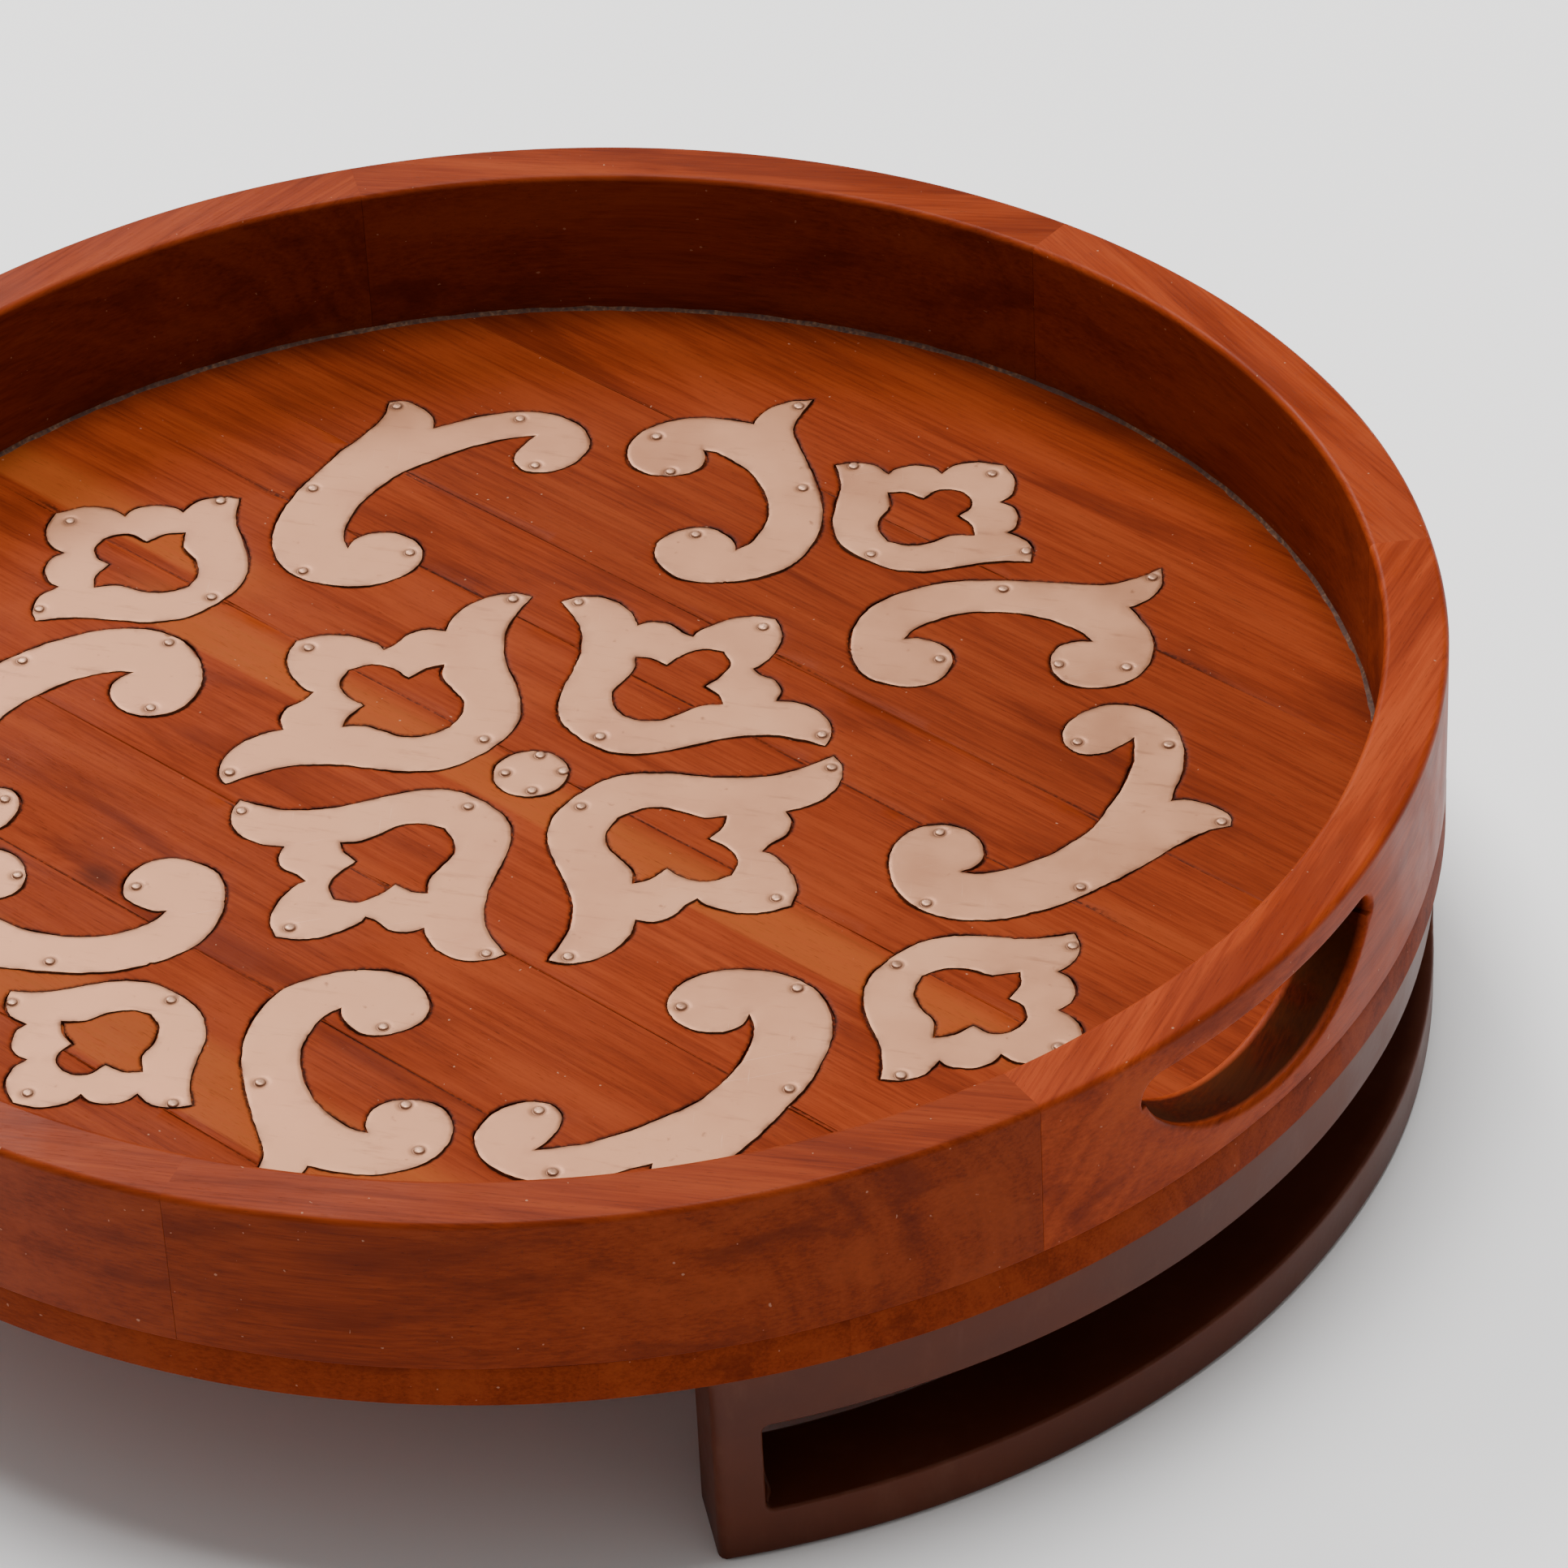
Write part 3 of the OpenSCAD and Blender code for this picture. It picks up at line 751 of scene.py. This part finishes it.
def build_weld(name, turn, z, lean, material):
    """A lumpy bead of weld along a corner of a foot's window, painted over."""
    along, around = 16, 10
    size, thinnest = 1.7, 0.05
    start, stop = FOOT_IN + 1.5, FOOT_OUT - 2.0
    lumps, flatter, into_window = 0.3, 0.85, 0.35
    grow, shrink = 4.5, 6  # how fast the bead swells at its start and ends at its far end
    verts, faces = [], []
    for i in range(along + 1):
        depth = i / along
        reach = start + (stop - start) * depth
        swell = size * (1 + lumps * wander(11 * depth, z, turn, size=2.6, seed=4))
        swell *= min(1, grow * depth, shrink * (1 - depth))
        for k in range(around):
            a = 2 * math.pi * k / around
            side_step = max(thinnest, swell) * math.cos(a) + into_window * lean[0] * size
            height = max(thinnest, swell) * flatter * math.sin(a) + into_window * lean[1] * size
            x = reach * math.cos(turn) - side_step * math.sin(turn)
            y = reach * math.sin(turn) + side_step * math.cos(turn)
            verts.append((x, y, z + height))
    for i in range(along):
        for k in range(around):
            after = (k + 1) % around
            here, there = i * around, (i + 1) * around
            faces.append((here + k, here + after, there + after, there + k))
    faces.append(tuple(range(around)))
    faces.append(tuple(range(along * around, (along + 1) * around)))
    piece = make_piece(name, verts, faces, {"edge": [0.0] * len(verts)}, sharp_angle=80)
    stand_for(piece, "feet_paint", material)


# ---- Glue line ----

def build_glue(material):
    """The thin uneven line of dried glue and dust where the floor meets the rim."""
    count = 420
    bury = 0.3  # how far the line goes into the rim
    verts, faces = [], []
    for k in range(count):
        turn = 2 * math.pi * k / count
        x, y = math.cos(turn), math.sin(turn)
        here = (x * RIM_IN, y * RIM_IN)
        run = 1.0 + 0.55 * wander(*here, size=7) + 0.3 * wander(*here, size=2.2, seed=3)
        climb = 0.7 + 0.45 * wander(*here, size=6, seed=5)
        run, belly, climb = max(0.25, run), 0.32 * max(0.2, climb), max(0.25, climb)
        section = ((RIM_IN + bury, FLOOR - 0.2), (RIM_IN - run, FLOOR - 0.05),
                   (RIM_IN - 0.45 * run, FLOOR + belly), (RIM_IN - 0.02, FLOOR + climb),
                   (RIM_IN + bury, FLOOR + 0.2))
        verts += [(x * reach, y * reach, z) for reach, z in section]
    ring = len(section)
    for k in range(count):
        here, there = k * ring, ((k + 1) % count) * ring
        for j in range(ring):
            after = (j + 1) % ring
            faces.append((here + j, here + after, there + after, there + j))
    piece = make_piece("glue_line", verts, faces, sharp_angle=70)
    stand_for(piece, "rim_wood", material)


# ---- Materials ----

class Nodes:
    """A short way to write a node material."""

    def __init__(self, name):
        self.material = bpy.data.materials.new(name)
        self.material.use_nodes = True
        self.tree = self.material.node_tree
        self.shader = self.tree.nodes["Principled BSDF"]

    def add(self, kind, settings=None, **inputs):
        node = self.tree.nodes.new("ShaderNode" + kind)
        for key, value in (settings or {}).items():
            setattr(node, key, value)
        for key, value in inputs.items():
            self.put(node.inputs[key.replace("_", " ")], value)
        return node

    def put(self, socket, value):
        if isinstance(value, bpy.types.NodeSocket):
            self.tree.links.new(value, socket)
        else:
            socket.default_value = value

    def shade(self, **inputs):
        for key, value in inputs.items():
            self.put(self.shader.inputs[key.replace("_", " ")], value)

    def place(self, turn=0.0, scale=(1, 1, 1), shift=(0, 0, 0)):
        """Where the surface is, in millimetres, turned about Z so that X runs along the grain."""
        here = self.add("TexCoord").outputs["Object"]
        lined = self.add("VectorRotate", {"rotation_type": "Z_AXIS"}, Vector=here, Angle=-turn)
        sized = self.add("Mapping", Vector=lined.outputs["Vector"])
        sized.inputs["Scale"].default_value = [s / MM for s in scale]
        sized.inputs["Location"].default_value = shift
        return sized.outputs["Vector"]

    def math(self, kind, a, b=0.0, c=0.0):
        node = self.add("Math", {"operation": kind})
        for socket, value in zip(node.inputs, (a, b, c)):
            self.put(socket, value)
        return node.outputs[0]

    def vector(self, kind, a, b=(0, 0, 0)):
        node = self.add("VectorMath", {"operation": kind})
        self.put(node.inputs[0], a)
        self.put(node.inputs[1], b)
        return node.outputs["Value" if kind == "LENGTH" else "Vector"]

    def noise(self, where, detail=3.0, rough=0.55, warp=0.0):
        node = self.add("TexNoise", Vector=where, Scale=1.0, Detail=detail, Roughness=rough, Distortion=warp)
        return node.outputs["Fac"]

    def lumps(self, waves, shift=(0, 0, 0), detail=3.0, rough=0.55):
        """Noise that has the same number of waves to the millimetre in every direction."""
        return self.noise(self.place(scale=(waves, waves, waves), shift=shift), detail, rough)

    def noise_1d(self, where, scale, detail):
        node = self.add("TexNoise", {"noise_dimensions": "1D"}, W=where, Scale=scale, Detail=detail)
        return node.outputs["Fac"]

    def span(self, value, low, high, to_low=0.0, to_high=1.0):
        """A value's place between two limits, eased at both ends."""
        node = self.add("MapRange", {"interpolation_type": "SMOOTHSTEP"})
        for socket, number in zip(node.inputs[:5], (value, low, high, to_low, to_high)):
            self.put(socket, number)
        return node.outputs["Result"]

    def point(self, name):
        """A number that the mesh gives for each of its points."""
        return self.add("Attribute", {"attribute_name": name}).outputs["Fac"]

    def product(self, a, b):
        return self.math("MULTIPLY", a, b)

    def mix(self, amount, a, b):
        node = self.add("Mix", {"data_type": "RGBA"})
        self.put(node.inputs[0], amount)
        self.put(node.inputs[6], a)
        self.put(node.inputs[7], b)
        return node.outputs[2]

    def ramp(self, value, *stops):
        node = self.add("ValToRGB", Fac=value)
        ramp = node.color_ramp
        while len(ramp.elements) < len(stops):
            ramp.elements.new(0.5)
        for element, (place, color) in zip(ramp.elements, stops):
            element.position = place
            element.color = color
        return node.outputs["Color"]

    def bump(self, height, depth, strength, below=None):
        node = self.add("Bump", Height=height, Distance=depth * MM, Strength=strength)
        if below is not None:
            self.put(node.inputs["Normal"], below)
        return node.outputs["Normal"]


def rgb(*levels):
    """A colour from the usual 0 to 255 values, by the sRGB formula."""
    parts = []
    for level in levels:
        part = level / 255
        parts.append(part / 12.92 if level < 11 else ((part + 0.055) / 1.055) ** 2.4)
    return tuple(parts) + (1,)


RED_DARK, RED_MIDDLE, RED_LIGHT = rgb(76, 21, 6), rgb(114, 42, 15), rgb(132, 56, 24)
GOLDEN = rgb(142, 70, 28)
PORE, KNOT, CHARRED = rgb(26, 6, 2), rgb(34, 10, 4), rgb(24, 7, 4)
WOOD_SPECK = rgb(170, 126, 100)
# Painted shade for the cut faces inside the hand slots, over their darker end grain: dark, red, and olive
# painted shadow
SLOT_SHADE_DARK, SLOT_SHADE_RED, SLOT_SHADE_OLIVE = rgb(36, 6, 1), rgb(64, 15, 3), rgb(46, 24, 7)


def toned(tone):
    """The wood's three colours, made lighter or darker."""
    return [tuple(c * tone for c in colour[:3]) + (1,) for colour in (RED_DARK, RED_MIDDLE, RED_LIGHT)]


def growth_rings(n, turn, here, drift, pith, knots, seed):
    """Noise in rings round the pith, bent round the knots."""
    fine_drift = n.math("MULTIPLY_ADD", n.noise(n.place(turn, (0.02, 0.09, 0.09), (seed, 1, 0))), 3.0, -1.5)
    off_pith = n.vector("SUBTRACT", n.vector("MULTIPLY", here, (0, 1, 1)), (0, pith[0], pith[1]))
    ring = n.math("ADD", n.vector("LENGTH", off_pith), n.math("ADD", drift, fine_drift))
    for x, y, reach in knots:
        away = knot_gap(n, here, x, y, 0.45)
        pull = n.math("POWER", math.e, n.product(n.product(away, away), -1 / reach ** 2))
        ring = n.math("MULTIPLY_ADD", pull, 14.0, ring)
    return n.noise_1d(n.math("ADD", ring, 37.0 * seed), scale=0.34, detail=4.0)


def knot_gap(n, here, x, y, squeeze):
    """How far a point is from a knot. The squeeze counts steps along the grain as shorter."""
    away = n.vector("SUBTRACT", here, (x, y, FLOOR))
    return n.vector("LENGTH", n.vector("MULTIPLY", away, (squeeze, 1, 0)))


def add_bands(n, colour, light, here, drift, fibre, bands):
    """Streaks of another colour. A band is from low to high across the grain and first to last along it."""
    parts = n.add("SeparateXYZ", Vector=here)
    level = n.math("ADD", parts.outputs["Y"], n.product(drift, 0.25))
    level = n.math("MULTIPLY_ADD", fibre, 1.6, level)
    along = parts.outputs["X"]
    for low, high, first, last, shade in bands:
        rises = n.span(level, low - 0.8, low + 0.8)
        falls = n.span(level, high + 3.5, high - 3.5)
        begins = n.span(along, first - 25, first + 10)
        ends = n.span(along, last + 25, last - 10)
        in_band = n.product(n.product(rises, falls), n.product(begins, ends))
        streaked = n.mix(n.span(fibre, 0.35, 0.65), shade, n.mix(0.35, shade, light))
        colour = n.mix(n.product(in_band, 0.7), colour, streaked)
    return colour


def wood(name, turn, pith, dark, middle, light, seed, gloss, bands=(), knots=(), burnt=False, figure=0.3,
         shine=0.025, slotted=False):
    """Lacquered hardwood. The growth rings go round a line along the grain, pith (y, z) in millimetres."""
    n = Nodes(name)
    here = n.place(turn)
    slow = n.noise(n.place(turn, (0.004, 0.014, 0.014), (seed, 0, 0)), detail=2)
    drift = n.math("MULTIPLY_ADD", slow, 22.0, -11.0)
    rings = growth_rings(n, turn, here, drift, pith, knots, seed)
    fibre = n.noise(n.place(turn, (0.035, 1.3, 1.3), (0, seed, 0)), detail=4, rough=0.65)
    flame = n.noise(n.place(turn, (0.011, 0.07, 0.07), (0, 0, seed)), detail=4, rough=0.6, warp=0.5)
    pores = n.noise(n.place(turn, (0.22, 5.0, 5.0), (seed, seed, 0)), detail=2, rough=0.7)
    pores = n.span(pores, 0.60, 0.72)
    tone = n.math("MULTIPLY_ADD", fibre, 1 - figure, n.product(rings, figure))
    colour = n.ramp(tone, (0.20, dark), (0.50, middle), (0.82, light))
    colour = n.mix(n.span(flame, 0.50, 0.68, 0.0, 0.8), colour, n.mix(0.4, light, colour))
    colour = n.mix(n.span(flame, 0.50, 0.32, 0.0, 0.8), colour, n.mix(0.3, dark, colour))
    colour = add_bands(n, colour, light, here, drift, fibre, bands)
    for x, y, reach in knots:
        away = knot_gap(n, here, x, y, 0.7)
        colour = n.mix(n.span(away, 0.8 * reach, 0.1 * reach, 0.0, 0.5), colour, KNOT)
    colour = n.mix(n.product(pores, 0.55), colour, n.mix(0.75, colour, PORE))
    speck = n.span(n.lumps(0.9, (seed, 4, 9), detail=0), 0.862, 0.88)
    colour = n.mix(n.product(speck, 0.55), colour, WOOD_SPECK)
    height = n.math("MULTIPLY_ADD", pores, -0.7, n.product(fibre, 0.35))
    rough = n.span(n.lumps(0.03, (seed, 2, 2), detail=4), 0.3, 0.7, gloss, gloss + 0.16)
    if burnt:
        char = n.product(n.point("burn"), n.span(n.lumps(0.9, detail=2), 0.25, 0.6, 0.45, 1.0))
        colour = n.mix(n.span(char, 0.2, 0.95, 0.0, 0.8), colour, CHARRED)
    # The cut faces inside a hand slot are painted dark and olive: painted shade of the slot's inside, over
    # end grain that takes the stain darker
    if slotted:
        cut = n.point("cut")
        olive_shade = n.span(n.lumps(0.05, (seed, 0, 3)), 0.42, 0.62, 0.0, 0.8)
        slot_shade = n.mix(olive_shade, n.mix(n.span(fibre, 0.3, 0.7), SLOT_SHADE_DARK, SLOT_SHADE_RED), SLOT_SHADE_OLIVE)
        colour = n.mix(n.product(cut, 0.9), colour, slot_shade)
        rough = n.math("MULTIPLY_ADD", cut, 0.5, rough)
    n.shade(Base_Color=colour, Roughness=rough, Specular_IOR_Level=shine,
            Normal=n.bump(height, 0.05, 0.4, n.bump(n.lumps(0.02), 0.4, 0.2)))
    return n.material


def sheet_metal():
    """Soft white metal, rubbed and scratched, with grime round the nails and a worn edge."""
    dull, plain, bright = rgb(150, 101, 72), rgb(164, 115, 84), rgb(173, 125, 94)
    smeared, spotted, scratched = rgb(122, 80, 56), rgb(92, 52, 32), rgb(186, 150, 126)
    edge_dirt, nail_dirt = rgb(82, 46, 28), rgb(54, 27, 16)
    n = Nodes("sheet_metal")
    cloud = n.lumps(0.03, detail=5)
    colour = n.ramp(cloud, (0.3, dull), (0.55, plain), (0.75, bright))
    smear = n.noise(n.place(0.4, (0.05, 0.35, 0.2)), detail=4, rough=0.7)
    colour = n.mix(n.span(smear, 0.55, 0.75, 0.0, 0.6), colour, smeared)
    colour = n.mix(n.span(n.lumps(0.25, detail=4), 0.66, 0.76, 0.0, 0.6), colour, spotted)
    scratch = n.span(n.noise(n.place(0.9, (0.03, 2.4, 1.0)), detail=3, rough=0.6), 0.66, 0.72)
    other = n.span(n.noise(n.place(2.2, (0.05, 2.0, 1.0)), detail=3, rough=0.6), 0.67, 0.73)
    patch = n.span(n.lumps(0.02, (5, 5, 5)), 0.5, 0.62)
    marks = n.product(n.math("MAXIMUM", scratch, other), patch)
    colour = n.mix(n.product(marks, 0.4), colour, scratched)
    dirty = n.product(n.point("edge"), n.span(n.lumps(0.12, (1, 7, 3), detail=4), 0.42, 0.62))
    colour = n.mix(n.product(dirty, 0.75), colour, edge_dirt)
    colour = n.mix(n.product(n.point("grime"), 0.8), colour, nail_dirt)
    weave = n.lumps(2.2, detail=2)
    rough = n.math("MULTIPLY_ADD", marks, -0.12, n.span(cloud, 0.3, 0.7, 0.40, 0.54))
    normal = n.bump(marks, 0.02, 0.3, n.bump(weave, 0.015, 0.25, n.bump(cloud, 0.3, 0.15)))
    n.shade(Base_Color=colour, Metallic=0.5, Specular_IOR_Level=0.3, Roughness=rough, Normal=normal)
    return n.material


def nail_metal():
    dull, bright, dirt = rgb(140, 98, 74), rgb(168, 126, 100), rgb(82, 46, 30)
    n = Nodes("nail_metal")
    speck = n.lumps(1.1, detail=4)
    colour = n.mix(n.point("wear"), dull, bright)
    colour = n.mix(n.span(speck, 0.60, 0.74, 0.0, 0.6), colour, dirt)
    n.shade(Base_Color=colour, Metallic=0.6, Roughness=n.span(speck, 0.35, 0.65, 0.32, 0.5),
            Normal=n.bump(speck, 0.12, 0.6))
    return n.material


def foot_paint():
    """Smooth dark brown paint over iron, a little dusty, with a patchy painted highlight along its rounded
    edges.
    """
    dark, middle, light = rgb(72, 30, 14), rgb(84, 38, 20), rgb(96, 46, 27)
    dusty, highlight_brown = rgb(104, 66, 48), rgb(104, 62, 44)
    n = Nodes("foot_paint")
    cloud = n.noise(n.place(scale=(0.02, 0.02, 0.03)), detail=5)
    colour = n.ramp(cloud, (0.3, dark), (0.6, middle), (0.8, light))
    dust = n.noise(n.place(scale=(0.12, 0.12, 0.05), shift=(3, 1, 4)), detail=6, rough=0.7)
    colour = n.mix(n.product(n.span(dust, 0.5, 0.75), 0.2), colour, dusty)
    # Lighter patches along the rounded edges: a painted highlight
    edge_highlight = n.product(n.point("edge"), n.span(n.lumps(0.2, detail=4), 0.45, 0.7))
    colour = n.mix(n.product(edge_highlight, 0.3), colour, highlight_brown)
    n.shade(Base_Color=colour, Roughness=n.span(cloud, 0.3, 0.7, 0.34, 0.5), Specular_IOR_Level=0.16,
            Normal=n.bump(n.lumps(0.55), 0.06, 0.35, n.bump(cloud, 0.8, 0.2)))
    return n.material


def glue_and_dust():
    dark, middle, light = rgb(48, 22, 10), rgb(92, 56, 32), rgb(128, 94, 66)
    wood_brown = rgb(56, 20, 8)
    n = Nodes("glue_and_dust")
    grain = n.lumps(0.8, detail=5)
    colour = n.ramp(grain, (0.35, dark), (0.55, middle), (0.7, light))
    colour = n.mix(n.span(n.lumps(0.05), 0.35, 0.6, 0.85, 0.2), colour, wood_brown)
    n.shade(Base_Color=colour, Roughness=0.8, Normal=n.bump(grain, 0.3, 0.7))
    return n.material


# Each plank from the back to the front: its pith (across the grain, and height), and its tone
PLANK_WOODS = [((-60, 20), 0.92), ((150, 30), 0.86), ((-40, 25), 0.96), ((90, -30), 1.0),
               ((-120, 20), 1.08), ((10, 90), 1.02), ((60, -10), 1.0), ((-60, 40), 0.95)]
PLANK_BANDS = {
    "board_4": [(4, 16, -230, -110, GOLDEN)],
    "board_5": [(-15, -2, -110, 140, GOLDEN)],
    "board_7": [(-133, -113, -140, 130, GOLDEN)],
}
PLANK_KNOTS = {"board_6": [(-47.5, -90, 7)]}  # along the grain, across it, and how far each reaches


def plank_materials():
    """One wood for each plank, from the back to the front."""
    made = []
    for i, (name, (pith, tone)) in enumerate(zip(PLANKS, PLANK_WOODS)):
        made.append(wood("wood_" + name, GRAIN_TURN, pith, *toned(tone), seed=1.7 * i + 2, gloss=0.42,
                         bands=PLANK_BANDS.get(name, ()), knots=PLANK_KNOTS.get(name, ()), burnt=True))
    return made


# Each rim segment: the way it faces, its pith (beyond the outer face, and height), and its tone
RIM_WOODS = {
    "rim_front_right": (-62, (RIM_OUT + 42, FLOOR + 10), 1.02),
    "rim_front": (-64, (RIM_OUT + 42, FLOOR + 10), 1.0),
    "rim_slot_right": (14, (RIM_OUT + 160, FLOOR - 60), 1.42),
    "rim_back_right": (68, (RIM_OUT + 90, FLOOR + 90), 1.22),
    "rim_back_left": (121, (RIM_OUT + 48, FLOOR + 22), 1.06),
    "rim_slot_left": (178, (RIM_OUT + 120, FLOOR - 40), 1.05),
    "rim_front_left": (231, (RIM_OUT + 150, FLOOR + 80), 1.08),
}


def rim_material(name):
    facing, pith, tone = RIM_WOODS[name]
    return wood("wood_" + name, math.radians(facing - 90), pith, *toned(tone),
                seed=2.3 * len(name) + facing / 50, gloss=0.32, figure=0.34, shine=0.045,
                slotted="slot" in name)


# ---- Stage, light and camera ----

def build_stage():
    """A plain sheet of pale paper that the tray stands on."""
    half = 4000
    paper_low, paper_high = (0.93, 0.93, 0.93, 1), (0.96, 0.96, 0.96, 1)
    n = Nodes("stage_paper")
    n.shade(Base_Color=n.ramp(n.lumps(0.002, detail=2), (0.3, paper_low), (0.7, paper_high)), Roughness=0.9)
    corners = [(x * half, y * half, -0.1) for x, y in ((-1, -1), (1, -1), (1, 1), (-1, 1))]
    floor = make_piece("stage_floor", corners, [(0, 1, 2, 3)])
    floor.data.materials.append(n.material)


def add_light(name, azimuth, elevation, distance, size, watts, colour=(1, 1, 1)):
    """A square soft light that faces the tray, at angles in degrees."""
    data = bpy.data.lights.new(name, "AREA")
    data.size = size
    data.energy = watts
    data.color = colour
    lamp = bpy.data.objects.new(name, data)
    a, e = math.radians(azimuth), math.radians(elevation)
    lamp.location = distance * Vector((math.cos(a) * math.cos(e), math.sin(a) * math.cos(e), math.sin(e)))
    lamp.rotation_euler = lamp.location.to_track_quat("Z", "Y").to_euler()
    bpy.context.scene.collection.objects.link(lamp)


def add_lights():
    world = bpy.data.worlds.new("studio")
    world.use_nodes = True
    background = world.node_tree.nodes["Background"].inputs
    background["Color"].default_value = (1.0, 0.985, 0.97, 1)
    background["Strength"].default_value = 0.34
    bpy.context.scene.world = world
    add_light("key", azimuth=152, elevation=44, distance=4.0, size=1.5, watts=135, colour=(1.0, 0.97, 0.94))
    add_light("overhead", azimuth=130, elevation=82, distance=4.0, size=1.9, watts=215)


def add_camera():
    """It stands at the front right, looks down at the middle of the floor, and leans a little."""
    azimuth, elevation, distance = 43.0, 36.60, 1.5596
    pan, tilt, roll = 1.969, 0.285, 4.368
    e = math.radians(elevation)
    place = distance * Vector((0, -math.cos(e), math.sin(e)))
    back = place.normalized()
    right = Vector((1, 0, 0))
    look = Matrix((right, back.cross(right), back))
    lean = (Matrix.Rotation(math.radians(roll), 3, "Z") @ Matrix.Rotation(math.radians(tilt), 3, "X")
            @ Matrix.Rotation(math.radians(pan), 3, "Y"))
    round_z = Matrix.Rotation(math.radians(azimuth), 3, "Z")
    turned = round_z @ (lean @ look).transposed()
    data = bpy.data.cameras.new("camera")
    data.lens = 161.46
    data.sensor_width = 36
    camera = bpy.data.objects.new("camera", data)
    camera.matrix_world = Matrix.Translation(round_z @ place + Vector((0, 0, FLOOR * MM))) @ turned.to_4x4()
    bpy.context.scene.collection.objects.link(camera)
    bpy.context.scene.camera = camera


# ---- Everything ----

add_camera()
add_lights()
build_stage()
metal = sheet_metal()
for shape in PLATE_SHAPES.values():
    build_plate(shape, metal)
nail = nail_metal()
for group in NAIL_GROUPS:
    build_nails(group, nail)
build_planks(plank_materials())
build_rim(rim_material)
paint = foot_paint()
for side in FEET:
    build_foot(side, paint)
build_glue(glue_and_dust())
NODES["foot_screws"].data.materials.clear()
NODES["foot_screws"].data.materials.append(nail)
